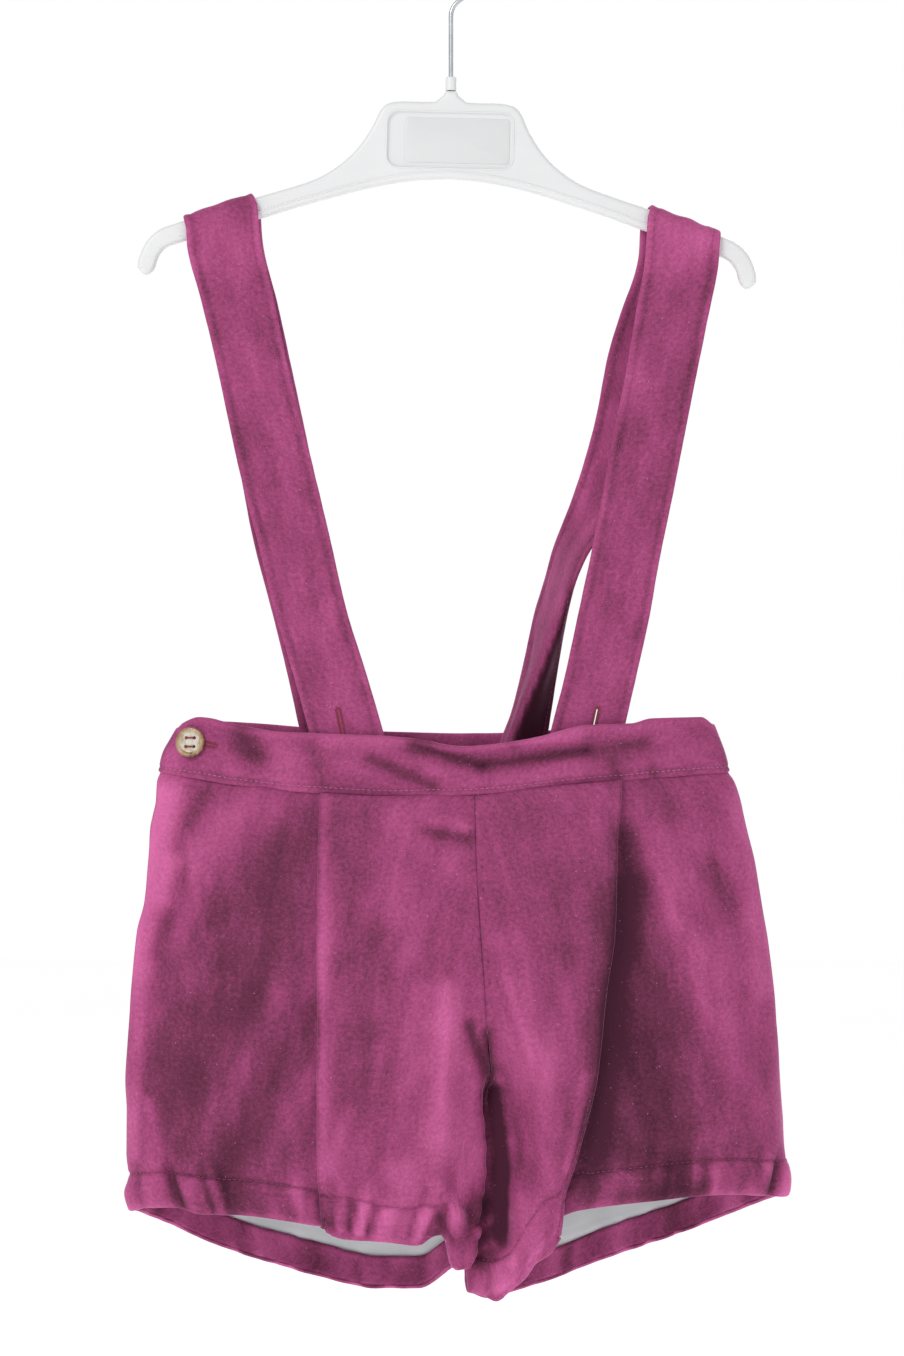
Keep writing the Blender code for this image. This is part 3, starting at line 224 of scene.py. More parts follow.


# Their shade column is painted light and shade: painted shade in troughs, beside the pleats and between
# the legs, painted highlights on ridges, along the pleats' edges and down the sides.
FRONT_CREASES = creases(
    (-66, 530, -102, 600, 10, -3.2, -0.5), (-37, 492, -45, 578, 9, -1.8, -0.35),
    (-22, 470, -20, 500, 8, 1.8, 0.4), (-1, 520, -5, 590, 7, 3, 0.75),
    (-131, 465, -141, 503, 4.5, -2.6, -0.5), (-141, 503, -143, 545, 6, -1.6, -0.3),
    (-87, 430, -122, 452, 12, 2.2, 0.4), (-118, 426, -132, 450, 5, -2, -0.45),
    (-108, 436, -84, 432, 8, 1, 0.45), (-120, 462, -130, 500, 7, 1, 0.4),
    (-134, 432, -140, 470, 6, 0.6, 0.35), (-118, 458, -123, 512, 11, 1.2, 0.3),
    (-72, 440, -100, 526, 20, -0.8, -0.62), (-104, 530, -134, 560, 18, -0.6, -0.35),
    (-66, 560, -92, 606, 7, 1.2, 0.25), (-82, 524, -118, 596, 7, 1.8, 0.35),
    (-100, 540, -127, 604, 6, -1.4, -0.3), (-112, 560, -134, 600, 12, 0.7, 0.12),
    (-149, 566, -138, 573, 4, -1.4, -0.5), (-143, 585, -136, 606, 4, -1.8, -0.45),
    (-136, 606, -135, 624, 3.6, -2.6, -0.5), (-145, 588, -144, 624, 5, 1.8, 0.4),
    (-126, 556, -112, 616, 26, 0, -0.9), (-95, 520, -88, 590, 20, 0, -0.66),
    (-86, 440, -92, 510, 18, 0, -0.48), (-112, 484, -118, 530, 18, 0, -0.68),
    (-144, 426, -151, 510, 8, 0, 0.95), (-137, 426, -140, 476, 8, 0, 1.1),
    (-150, 500, -152, 600, 4, 0, 0.6), (-128, 500, -130, 540, 9, 0, -0.5),
    (-34, 520, -36, 590, 12, 0, -0.25), (-58, 622, -12, 628, 8, 0, 0.45),
    (-24, 606, -10, 630, 9, 0, 0.6), (9, 556, 10, 612, 7, 0, 0.45),
    (-48, 450, -51, 560, 8, -0.6, -0.25), (-39, 432, -39, 470, 6, -0.9, -0.25),
    (-14, 520, -26, 588, 7, 0.8, 0.22), (-12, 443, 8, 447, 3.2, -1.8, -0.6),
    (-8, 438, 6, 440, 3, 1, 0.35), (-24, 436, 4, 466, 8, 0.7, 0.2),
    (9, 536, 18, 564, 3.2, -2.4, -1), (-44, 596, -32, 578, 6, 1.1, 0.2),
    (-6, 600, 6, 592, 5, 1.6, 0.3), (-6, 612, 2, 622, 4, 2.2, 0.35), (2, 622, 6, 648, 4, 2.4, 0.35),
    (-12, 618, -8, 638, 4, -1.2, -0.3), (-61, 428, -61, 626, 3, 0, 0.5),
    (17.5, 540, 21.5, 575, 3.5, -3, -0.9), (21.5, 570, 25.5, 606, 4.8, -7, -2.4),
    (25, 606, 24, 640, 4.6, -7, -2.6), (23.4, 562, 28.8, 592, 3, 1, 0.5),
    (28.8, 592, 30.2, 650, 2.6, 1.8, 0.7), (19, 624, 17, 652, 7, -0.6, -1.3),
    (13, 637, 25, 628, 2.2, 1.6, 0.8), (13, 647, 25, 640, 2.2, 1.6, 0.7),
    (28, 440, 34, 520, 14, 0, -0.25), (29, 494, 48, 584, 9, 3.2, 0.4),
    (53, 460, 61, 505, 10, -0.8, -0.2), (24, 556, 33, 604, 4, -1, -0.35),
    (41, 604, 50, 622, 6, -1, -0.2), (36, 622, 38, 656, 7, 1.4, 0.4),
    (46, 596, 50, 630, 6, 0.8, 0.3), (81, 430, 56, 622, 3, 0, 0.3),
    (86, 440, 90, 540, 12, -2.6, -0.55), (90, 540, 98, 596, 16, -1.2, -0.5),
    (85, 470, 67, 610, 12, -1.6, -1.45), (80, 530, 84, 586, 14, 0, -0.8),
    (104, 560, 112, 596, 14, 0, -0.5), (-127, 444, -118.5, 495, 2.6, 0.8, 0.5),
    (-1.5, 515, -4, 575, 2.8, 1.4, 0.7), (27, 512, 39, 552, 3, 0.9, 0.5),
    (40, 540, 48, 566, 3.5, 0.8, 0.4), (-48, 577, -59, 604, 4, 1.2, 0.45),
    (-34, 546, -37, 577, 3.5, 0.6, 0.35), (-110, 567, -125, 604, 4, 1, 0.4),
    (-146, 574, -137, 607, 3, 1.2, 0.5), (-12, 627, -2, 620, 2.8, 1.4, 0.6),
    (-2, 620, 6, 630, 2.8, 1.4, 0.5), (6, 630, 8.5, 648, 2.8, 1.6, 0.6),
    (-5, 629, 1, 640, 2.8, -1.6, -0.8), (66, 612, 120, 606, 6, 0, 0.4),
    (64, 560, 57, 604, 4, 0, 0.8), (93, 420, 104, 436, 8, 0, -0.5), (83.5, 446, 84, 540, 8, -1, -1),
    (90, 434, 107, 486, 6, 1.4, 0.5), (107, 486, 124, 532, 7, 1.2, 0.45),
    (124, 532, 149, 575, 8, 1, 0.3), (93, 430, 121, 506, 11, 2.2, 0.3),
    (121, 506, 150, 590, 13, 1.6, 0.35), (114, 540, 121, 590, 11, 1.4, 0.15),
    (96, 550, 104, 620, 28, 0, -1), (98, 510, 122, 575, 20, 0, -0.55),
    (138, 556, 142, 606, 18, 0, -0.55), (138, 430, 151, 520, 7, 0, 0.4),
    (127, 462, 135, 476, 8, -1.8, -0.45), (130, 498, 146, 514, 9, 1.8, 0.25),
    (97, 582, 91, 595, 2.8, -1.8, -0.35), (98, 594, 107, 604, 2.8, -1.8, -0.35),
    (84, 576, 88, 588, 5, 1.4, 0.3), (103, 592, 150, 586, 6, 1.4, 0.25),
)
BACK_CREASES = creases(
    (-96, 470, -60, 560, 13, -3.4, -0.45), (-40, 500, 0, 560, 12, -3, -0.5),
    (-118, 540, -112, 620, 12, 2.8, 0.35), (-52, 590, -60, 650, 12, 3, 0.35),
    (62, 495, 30, 560, 12, -3.2, -0.5), (112, 450, 92, 560, 13, 3, 0.4),
    (126, 540, 132, 610, 11, -2.6, -0.4), (66, 580, 72, 640, 12, 2.8, 0.35),
    (-128, 440, -104, 500, 9, 1.8, 0.3), (-76, 436, -84, 500, 10, 1.4, 0.3),
    (-22, 440, -30, 520, 12, 1.2, 0.25), (44, 436, 40, 500, 9, 1.2, 0.25),
    (86, 440, 70, 500, 8, -1.4, -0.35), (-84, 570, -92, 640, 8, -1.4, -0.35),
    (-22, 580, -26, 640, 9, -1.4, -0.3), (98, 580, 104, 630, 8, -1.4, -0.3),
    (-8, 530, 12, 562, 7, 1.6, 0.3), (26, 532, 18, 566, 6, 1.4, 0.25),
    (-140, 470, -136, 560, 8, 0.8, 0.3),
)
BAND_CREASES = creases(
    (-18, 402, 15, 411.5, 3.4, -2.4, -1), (15, 411.5, 66, 404, 3.4, -2.6, -1),
    (66, 404, 94, 401, 3.4, -1.8, -0.5), (-4, 400, 60, 397, 3.6, 1.8, 0.35),
    (-60, 401, -32, 404, 6, 0.8, 0.3), (-66, 400, -62, 420, 4, -0.8, -0.35),
    (-128, 398, -136, 412, 6, 0, 0.5), (24, 418, 60, 414, 5, 0.8, 0.3),
    (-10, 414, 10, 418, 5, 0.8, 0.35), (92, 408, 118, 404, 8, 0, 0.15),
    (-39, 408, -8, 421, 3.4, -1.8, -0.8), (-48, 414, -20, 424, 4, 0.8, 0.2),
    (-101, 397, -93, 407, 6, -1.6, -0.75), (-82, 404, -78, 417, 9, 0.9, 0.4),
    (-118, 399, -116, 412, 6, 0.5, 0.15), (78, 410, 81, 421, 3, -1, -0.4),
    (96, 412, 100, 420, 3, -0.8, -0.35), (30, 402, 36, 408, 3, -0.9, -0.4),
    (-110, 404, -104, 418, 4, 0.8, 0.3), (-28, 404, -22, 411, 3, 0.9, 0.3),
    (104, 396, 108, 412, 7, 0.8, 0.15),
)
BACK_BAND_CREASES = creases(
    (-92, 398, -84, 416, 7, -1.2, -0.35), (-34, 399, -46, 417, 8, 1, 0.3),
    (12, 402, 20, 420, 6, -1.2, -0.3), (72, 398, 60, 416, 8, 1, 0.25),
    (104, 398, 110, 414, 6, -1, -0.3),
)

# What front (face -1) and back (face 1) differ in.
Face = namedtuple("Face", "side creases band_creases band_top seam")
FACES = {
    -1.0: Face("front", FRONT_CREASES, BAND_CREASES, BAND_TOP, WAIST_SEAM),
    1.0: Face("back", BACK_CREASES, BACK_BAND_CREASES, BACK_BAND_TOP, BACK_WAIST_SEAM),
}


def brace_run(*rows):
    """Rows across a brace, from its left edge to its right, without a crease if none is given."""
    columns = "left_x left_y left_drop right_x right_y right_drop crease_at push_x push_y"
    return table(columns, *rows, defaults=(0.5, 0.0, 0.0))


BRACES = {
    "left front": brace_run(
        (-63.3, -17, 417, -26.9, -19.2, 417), (-68.4, -15.9, 395.3, -32.5, -18.2, 395.3),
        (-76.6, -14.8, 365.7, -41.2, -16.6, 365.7), (-84.9, -13.6, 337.6, -50, -14.6, 337.6),
        (-93.1, -12, 304.6, -57.7, -12, 304.6), (-102.8, -10.2, 266.8, -66.7, -10.2, 266.8),
        (-113.5, -8, 217.3, -79.1, -8, 217.3), (-120.8, -6.8, 187.2, -85.4, -6.8, 187.2),
        (-127.2, -5.9, 164, -91.8, -5.9, 161),
    ),
    "left back": brace_run(
        (-126.6, 5.9, 164, -91, 5.9, 161), (-119.8, 6.8, 187.2, -84.4, 6.8, 187.2),
        (-113, 8, 217.3, -77.8, 8, 217.3), (-103.3, 10.4, 266.8, -67.4, 10.4, 266.8),
        (-96.5, 12.2, 302.6, -60.6, 12.2, 302.6), (-87.4, 14.2, 337.6, -51.5, 14.2, 337.6),
        (-80.5, 15.6, 365.7, -44.6, 16, 365.7), (-74.2, 15.6, 394.3, -38.3, 17.6, 394.3),
        (-69, 16.6, 417, -33, 19, 417),
    ),
    "right front": brace_run(
        (44.6, -17.2, 417, 81, -13.8, 417), (47.6, -17.2, 396.7, 83.2, -13.8, 396.7),
        (54.3, -16.2, 370.5, 88.9, -13.8, 370.5), (60.6, -14.8, 341.4, 95.4, -13.4, 341.4),
        (66.9, -12.8, 312.3, 100.6, -12.8, 312.3), (72.8, -11.2, 283.2, 106.7, -11.2, 283.2),
        (78.1, -9.6, 254.1, 112.5, -9.6, 254.1), (83.9, -8.2, 225, 118.3, -8.2, 225),
        (88.8, -7, 195.9, 124.2, -7, 195.9), (93.4, -6, 170.5, 129, -6, 172.5),
    ),
    "right back": brace_run(
        (90.6, 5.9, 168, 126.4, 5.9, 171), (82.4, 7.2, 192.5, 118, 7.2, 192.5),
        (76.4, 8.8, 212.4, 111.8, 8.6, 212.4), (70.8, 12.6, 242, 105.4, 7, 242),
        (65, 17.2, 264.3, 97.6, 4.6, 264.3, 0.56, 0, 0),
        (58.6, 22.4, 284.2, 86.4, 1.2, 284.2, 0.66, 0, -0.8),
        (50.6, 27.4, 306, 68.2, -2, 306, 0.8, 0, -1.2),
        (46.4, 28.4, 321.6, 60.6, -1, 321.6, 0.86, 0.2, -2.4),
        (41.2, 27.4, 338.5, 56.4, 5.6, 338.5, 0.84, 0.3, -7.6),
        (35.9, 23.6, 361.3, 52.9, 14.4, 361.3, 0.64, -1.2, -13.6),
        (29.6, 19.2, 386.5, 49.2, 18.2, 386.5, 0.44, -3.6, -13.4),
        (24.2, 17.8, 401, 47, 19.4, 401, 0.36, -3, -11),
        (20.2, 17.6, 417, 45, 19.6, 417, 0.34, -2.4, -9),
    ),
}

HANGER_TOP = table(
    "x below",
    (0, 0), (14, 0), (26.7, 0.2), (33.2, 3.4), (38.3, 13.6), (44.9, 23.5), (53.8, 32), (65, 38.8),
    (81.5, 44.6), (96.3, 49.2), (113.5, 55.3), (130.5, 61.2), (139.9, 65), (146.2, 71.2),
    (149.7, 79.6),
)
HANGER_BELOW = table(
    "x below",
    (149.9, 83.8), (146.2, 86.8), (142.2, 84.4), (140, 77.8), (136.2, 73.2), (130, 70.8),
    (112.5, 65.4), (94.8, 59.6), (79.8, 54.4), (59.2, 48), (38.8, 42.2), (18.2, 38.2), (0, 36.9),
)
COLLAR_FOOT = table(
    "x below",
    (0, -5.6), (2.6, -5.6), (3.6, -3.4), (7.6, -0.2),
)


def length(name, description, millimetres):
    return bpy.props.FloatProperty(
        name=name, description=description, default=millimetres * MM, unit="LENGTH"
    )


def colour(name, description, value):
    return bpy.props.FloatVectorProperty(
        name=name, description=description, default=value, subtype="COLOR"
    )


class ShortsSizes(bpy.types.PropertyGroup):
    """Sizes of the shorts that a user would change."""

    hem_depth: length("Hem depth", "Depth of the turned hem, from its edge to its stitching", 15.5)
    pucker: length("Hem pucker", "How far the hem's puckers stand out", 1.5)
    unevenness: length("Unevenness", "How far the worn cloth wavers off its smooth shape", 0.55)
    stitch_length: length("Stitch length", "Distance from one machine stitch to the next", 2.6)
    thread: length("Thread", "Thickness of the sewing thread", 0.34)


class ShortsColours(bpy.types.PropertyGroup):
    """Colours that a user would change."""

    # The velvet runs from painted shade through its own colour to painted highlight, as the shade
    # attribute says.
    velvet: colour("Velvet", "Velvet between its light and dark brushing", (0.30, 0.052, 0.152))
    velvet_light: colour("Painted highlight", "Velvet lightened by painted highlight", (0.60, 0.13, 0.33))
    velvet_dark: colour("Painted shade", "Velvet darkened by painted shade", (0.145, 0.028, 0.070))
    lining: colour("Lining", "Lining inside the legs", (0.66, 0.68, 0.70))
    thread: colour("Thread", "Seam thread", (0.30, 0.03, 0.14))
    hole_thread: colour("Buttonhole thread", "Thread round the buttonholes", (0.30, 0.008, 0.05))
    plastic: colour("Hanger", "Cloudy white plastic", (0.72, 0.723, 0.73))


def size(name):
    """One of the sizes, in millimetres."""
    return getattr(bpy.context.scene.shorts_sizes, name) / MM


def tinted(name, by=1.0):
    """One of the colours, made lighter or darker."""
    return tuple(channel * by for channel in getattr(bpy.context.scene.shorts_colours, name))


# ---------------------------------------------------------------- curves and grids


def mixed(start, end, share):
    return start + (end - start) * share


def eased(value):
    """0 below 0, 1 above 1 and a smooth step between."""
    share = np.clip(value, 0.0, 1.0)
    return share * share * (3.0 - 2.0 * share)


def bell(distance, width):
    return np.exp(-((distance / width) ** 2))


def unit(vectors):
    return vectors / np.maximum(np.linalg.norm(vectors, axis=-1, keepdims=True), 1e-9)


def on_curve(start, leaving, end, arriving, t):
    """A point of the smooth curve that leaves its start and meets its end with the given slopes."""
    return (
        start * (1.0 + 2.0 * t) * (1.0 - t) ** 2
        + leaving * t * (1.0 - t) ** 2
        + end * t * t * (3.0 - 2.0 * t)
        + arriving * t * t * (t - 1.0)
    )


def reading(rows, column, at):
    """The named column on a smooth curve through the table, whose first column is the key."""
    keys = np.array([row[0] for row in rows])
    values = np.array([getattr(row, column) for row in rows])
    widths = np.diff(keys)
    rises = np.diff(values) / widths
    slopes = np.concatenate((rises[:1], np.zeros(len(rises) - 1), rises[-1:]))
    for i in range(1, len(rises)):
        if rises[i - 1] * rises[i] > 0.0:
            slopes[i] = 2.0 * rises[i - 1] * rises[i] / (rises[i - 1] + rises[i])
    at = np.clip(at, keys[0], keys[-1])
    i = np.clip(np.searchsorted(keys, at, side="right") - 1, 0, len(widths) - 1)
    t = (at - keys[i]) / widths[i]
    return on_curve(values[i], slopes[i] * widths[i], values[i + 1], slopes[i + 1] * widths[i], t)


def crease_relief_and_painted_shade(creases, x, drop, column):
    """The creases' heights, which add up, or their painted light and shade, of which the strongest
    count most.
    """
    power = 1.0 if column == "height" else 3.0
    lighter, darker = np.zeros(np.shape(x)), np.zeros(np.shape(x))
    for crease in creases:
        run_x = crease.to_x - crease.x
        run_drop = crease.to_drop - crease.drop
        along = (x - crease.x) * run_x + (drop - crease.drop) * run_drop
        along = np.clip(along / (run_x * run_x + run_drop * run_drop), 0.0, 1.0)
        off = np.hypot(x - crease.x - along * run_x, drop - crease.drop - along * run_drop)
        value = getattr(crease, column) * bell(off, crease.width)
        lighter += np.maximum(value, 0.0) ** power
        darker += np.maximum(-value, 0.0) ** power
    return lighter ** (1.0 / power) - darker ** (1.0 / power)


def wavering(points, waves, seed, squeeze=(1.0, 1.0, 1.0)):
    """Smooth noise between about -1 and 1 at the points, with waves of the given size."""
    shift = Vector((seed * 17.3, seed * 5.1, seed * 9.7))
    flat = (points * np.array(squeeze)).reshape(-1, 3) / waves
    return np.array([noise.noise(Vector(p) + shift) for p in flat]).reshape(points.shape[:-1])


def grid_normals(points, outward):
    """Unit normals of a grid. Outward is 1 if they should follow across x down."""
    return unit(np.cross(np.gradient(points, axis=1), np.gradient(points, axis=0)) * outward)


def steps_to(whole, step, last_stretch, last_step):
    """Shares of a length at even steps, with smaller ones over its last stretch."""
    coarse = max(2, round((whole - last_stretch) / step))
    fine = max(2, round(last_stretch / last_step))
    turn = 1.0 - last_stretch / whole
    return np.concatenate(
        (np.linspace(0.0, turn, coarse, endpoint=False), np.linspace(turn, 1.0, fine + 1))
    )


# ---------------------------------------------------------------- pieces


def linked(name, data):
    obj = bpy.data.objects.new(name, data)
    bpy.context.scene.collection.objects.link(obj)
    return obj


def add_piece(name, mesh, surface, slot, *nodes):
    """Puts a mesh in the scene as a piece on the one body and in place of its solids."""
    obj = linked(name, mesh)
    mesh.materials.append(material(surface))
    mesh.shade_smooth()
    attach(obj, "root")
    if nodes:
        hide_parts(*nodes)
    return obj


def add_cloth(name, node, grid, wall, flat, held, on, surface="Raspberry velvet", slot="velvet"):
    """Makes a grid a piece of cloth with a wall of a thickness and an offset. The flat cut that it is
    given is not used.
    """
    obj = add_piece(name, grid_mesh(name, **grid), surface, slot, node)
    solidify = obj.modifiers.new("Wall", "SOLIDIFY")
    solidify.thickness = wall[0] * MM
    solidify.offset = wall[1]


def grid_mesh(name, points, outward, ring=False, capped=False, shade=None):
    """A mesh through a grid of points in millimetres, with its flat cut as its UV map."""
    rows, columns = points.shape[:2]
    index = np.arange(rows * columns).reshape(rows, columns)
    after = np.roll(index, -1, axis=1) if ring else index[:, 1:]
    here = index if ring else index[:, :-1]
    quads = np.stack((here[:-1], here[1:], after[1:], after[:-1]), axis=-1).reshape(-1, 4)
    order = -1 if outward > 0.0 else 1
    faces = quads[:, ::order].tolist()
    if capped:
        faces += [index[0, ::-order].tolist(), index[-1, ::order].tolist()]
    mesh = bpy.data.meshes.new(name)
    mesh.from_pydata((points.reshape(-1, 3) * MM).tolist(), [], faces)
    across = np.cumsum(np.linalg.norm(np.diff(points, axis=1), axis=2), axis=1)
    down = np.cumsum(np.linalg.norm(np.diff(points, axis=0), axis=2), axis=0)
    cut = np.stack((np.pad(across, ((0, 0), (1, 0))), np.pad(down, ((1, 0), (0, 0)))), axis=-1)
    loops = np.empty(len(mesh.loops), dtype=np.int32)
    mesh.loops.foreach_get("vertex_index", loops)
    layer = mesh.uv_layers.new(name="cut")
    layer.data.foreach_set("uv", (cut.reshape(-1, 2) * MM)[loops].ravel())
    set_shade(mesh, np.zeros(rows * columns) if shade is None else shade.ravel())
    return mesh


def set_shade(mesh, values):
    attribute = mesh.attributes.new("shade", "FLOAT", "POINT")
    attribute.data.foreach_set("value", np.array(values, dtype=np.float32))


def mesh_of(name, bm, place=None):
    """The bmesh's mesh, moved to its place."""
    mesh = bpy.data.meshes.new(name)
    bm.to_mesh(mesh)
    bm.free()
    if place:
        mesh.transform(place)
    return mesh


def evaluated(obj):
    graph = bpy.context.evaluated_depsgraph_get()
    return bpy.data.meshes.new_from_object(obj.evaluated_get(graph))


def cut_out(piece, *meshes):
    """Cuts the shapes of the meshes out of a piece, with its wall already on it."""
    cutters = [linked("cutter", mesh) for mesh in meshes]
    for cutter in cutters:
        boolean = piece.modifiers.new("Cut", "BOOLEAN")
        boolean.object = cutter
        boolean.solver = "EXACT"
    bpy.context.view_layer.update()
    mesh, old = evaluated(piece), piece.data
    piece.modifiers.clear()
    piece.data = mesh
    bpy.data.meshes.remove(old)
    for cutter in cutters:
        bpy.data.objects.remove(cutter)


def thread_lengths(name, places):
    """One mesh of short lengths of thread, each a unit ball drawn out by its 4 x 4 matrix."""
    ball = bmesh.new()
    bmesh.ops.create_uvsphere(ball, u_segments=6, v_segments=4, radius=0.5)
    ball.verts.index_update()
    bmesh.ops.rotate(ball, verts=ball.verts, matrix=Matrix.Rotation(math.pi / 2.0, 3, "Y"))
    corners = np.array([(*vert.co, 1.0) for vert in ball.verts])
    faces = [[vert.index for vert in face.verts] for face in ball.faces]
    ball.free()
    points = np.concatenate([corners @ np.array(place).T for place in places])[:, :3]
    every = [[k + i * len(corners) for k in face] for i in range(len(places)) for face in faces]
    mesh = bpy.data.meshes.new(name)
    mesh.from_pydata(points.tolist(), [], every)
    return mesh


def facing_matrix(point, along, normal, *extents):
    """Draws a unit shape out at a point, with X along the thread and Z off the cloth."""
    x = Vector(along).normalized()
    z = (Vector(normal) - Vector(normal).dot(x) * x).normalized()
    turn = Matrix((x, z.cross(x), z)).transposed().to_4x4()
    drawn = Matrix.Diagonal((*[extent * MM for extent in extents], 1.0))
    return Matrix.Translation(Vector(point) * MM) @ turn @ drawn


def stitch_places(points, normals, lift=0.05, seen=0.36):
    """Machine stitches along a line on the cloth."""
    lengths = np.linalg.norm(np.diff(points, axis=0), axis=1)
    run = np.concatenate(([0.0], np.cumsum(lengths)))
    pitch, thread = size("stitch_length"), size("thread")

    def at_run(values, at):
        return Vector([np.interp(at, run, values[:, i]) for i in range(3)])

    places = []
    for at in np.arange(pitch / 2.0, run[-1], pitch):
        start, end = at_run(points, at - pitch * seen), at_run(points, at + pitch * seen)
        normal = at_run(normals, at)
        middle = (start + end) / 2.0 + normal * lift
        span = (end - start).length
        places.append(facing_matrix(middle, end - start, normal, span, thread, thread))
    return places


# ---------------------------------------------------------------- materials


class Value:
    """A shader socket that takes part in Python sums."""

    def __init__(self, shader, socket):
        self.shader = shader
        self.socket = socket

    def maths(self, operation, other, turned=False):
        first, second = (other, self) if turned else (self, other)
        return self.shader.node("ShaderNodeMath", {"operation": operation}, {0: first, 1: second})

    __add__ = partialmethod(maths, "ADD")
    __radd__ = partialmethod(maths, "ADD", turned=True)
    __sub__ = partialmethod(maths, "SUBTRACT")
    __rsub__ = partialmethod(maths, "SUBTRACT", turned=True)
    __mul__ = partialmethod(maths, "MULTIPLY")
    __rmul__ = partialmethod(maths, "MULTIPLY", turned=True)
    __gt__ = partialmethod(maths, "GREATER_THAN")


class Shader:
    """A material on a Principled shader, with its nodes made by one method."""

    def __init__(self, name, **constants):
        self.material = bpy.data.materials.new(name)
        self.material.use_nodes = True
        self.tree = self.material.node_tree
        self.surface = self.tree.nodes["Principled BSDF"]
        for socket, value in constants.items():
            self.put(self.surface.inputs[socket.replace("_", " ")], value)

    def node(self, kind, settings=None, inputs=None, output=0):
        made = self.tree.nodes.new(kind)
        for name, value in (settings or {}).items():
            if name == "stops":
                ramp = made.color_ramp
                while len(ramp.elements) < len(value):
                    ramp.elements.new(0.5)
                for element, (position, stop) in zip(ramp.elements, value):
                    element.position = position
                    element.color = (*stop, 1.0)
            else:
                setattr(made, name, value)
        for name, value in (inputs or {}).items():
            self.put(made.inputs[name], value)
        return Value(self, made.outputs[output])

    def put(self, socket, value):
        """Links a value to a socket, or sets a constant on it. Colours have three channels."""
        if isinstance(value, Value):
            self.tree.links.new(value.socket, socket)
        else:
            socket.default_value = (*value, 1.0) if socket.type == "RGBA" else value

    def place(self, scale=(1.0, 1.0, 1.0), on_cut=False, turn=0.0):
        """Coordinates in metres: on the piece's flat cut, or through space."""
        kind = ("ShaderNodeUVMap", {"uv_map": "cut"}) if on_cut else ("ShaderNodeTexCoord", {})
        source = self.node(*kind, output=0 if on_cut else "Object")
        inputs = {"Vector": source, "Scale": scale, "Rotation": (0.0, 0.0, turn)}
        return self.node("ShaderNodeMapping", {}, inputs)

    def noise(self, where, scale, detail=2.0, roughness=0.5):
        inputs = {"Vector": where, "Scale": scale, "Detail": detail, "Roughness": roughness}
        return self.node("ShaderNodeTexNoise", {}, inputs)

    def shade(self):
        return self.node("ShaderNodeAttribute", {"attribute_name": "shade"}, output="Fac")

    def ramp(self, factor, *stops):
        return self.node("ShaderNodeValToRGB", {"stops": stops}, {"Fac": factor})

    def mix(self, factor, first, second):
        inputs = {0: factor, 6: first, 7: second}
        return self.node("ShaderNodeMix", {"data_type": "RGBA"}, inputs, output=2)

    def finished(self, base, roughness, height=None, depth=0.0, strength=1.0):
        """The material. Its relief's height runs from 0 to 1 over a depth in millimetres."""
        self.put(self.surface.inputs["Base Color"], base)
        self.put(self.surface.inputs["Roughness"], roughness)
        if height is not None:
            inputs = {"Height": height, "Distance": depth * MM, "Strength": strength}
            self.put(self.surface.inputs["Normal"], self.node("ShaderNodeBump", {}, inputs))
        return self.material


def velvet_material(name):
    """Short cotton pile of uneven tone, with light and shade painted into its colour by the shade
    attribute, and a bright edge where it is seen side on.
    """
    shader = Shader(
        name,
        Sheen_Weight=1.0,
        Sheen_Roughness=0.3,
        Sheen_Tint=(0.92, 0.45, 0.70),
        Specular_IOR_Level=0.12,
    )
    cut = shader.place(on_cut=True)
    streaks = shader.noise(shader.place((1.0, 0.3, 1.0), on_cut=True), 110.0, 4.0, 0.6)
    patches = shader.noise(shader.place(), 24.0, 3.0, 0.55)
    mottle = shader.noise(cut, 520.0, 3.0, 0.6)
    pile = shader.noise(cut, 1900.0, 2.0, 0.7)
    # The shade attribute paints light and shade into the colour; the noises are the pile's own uneven
    # tone.
    light = 0.5 + shader.shade() * 0.36
    for pattern, weight in ((patches, 0.34), (streaks, 0.42), (mottle, 0.5), (pile, 0.55)):
        light = light + (pattern - 0.5) * weight
    base = shader.ramp(
        light,
        (0.0, tinted("velvet_dark", 0.4)),
        (0.28, tinted("velvet_dark")),
        (0.52, tinted("velvet")),
        (1.0, tinted("velvet_light")),
    )
    lint = shader.noise(shader.place(), 1300.0, 0.0) > 0.86
    base = shader.mix(lint * 0.5, base, (0.62, 0.4, 0.52))
    roughness = 0.78 + (pile - 0.5) * 0.2
    return shader.finished(base, roughness, pile * 0.5 + mottle * 0.5, 0.35, 0.55)


def lining_material(name):
    shader = Shader(name, Sheen_Weight=0.15, Specular_IOR_Level=0.35)
    warp, weft = (
        shader.node(
            "ShaderNodeTexWave",
            {"bands_direction": direction},
            {"Vector": shader.place(on_cut=True), "Scale": 900.0},
        )
        for direction in ("X", "Y")
    )
    soft = shader.noise(shader.place(), 60.0, 3.0)
    base = shader.mix(soft, tinted("lining", 0.86), tinted("lining"))
    return shader.finished(base, 0.62 + (soft - 0.5) * 0.2, warp * 0.5 + weft * 0.5, 0.08, 0.5)


def thread_material(name, base):
    shader = Shader(name, Sheen_Weight=0.3, Specular_IOR_Level=0.4)
    twist = shader.noise(shader.place(), 2600.0, 1.0)
    dark = tuple(channel * 0.55 for channel in base)
    return shader.finished(shader.mix(twist, dark, base), 0.5 + twist * 0.2, twist, 0.08, 0.6)


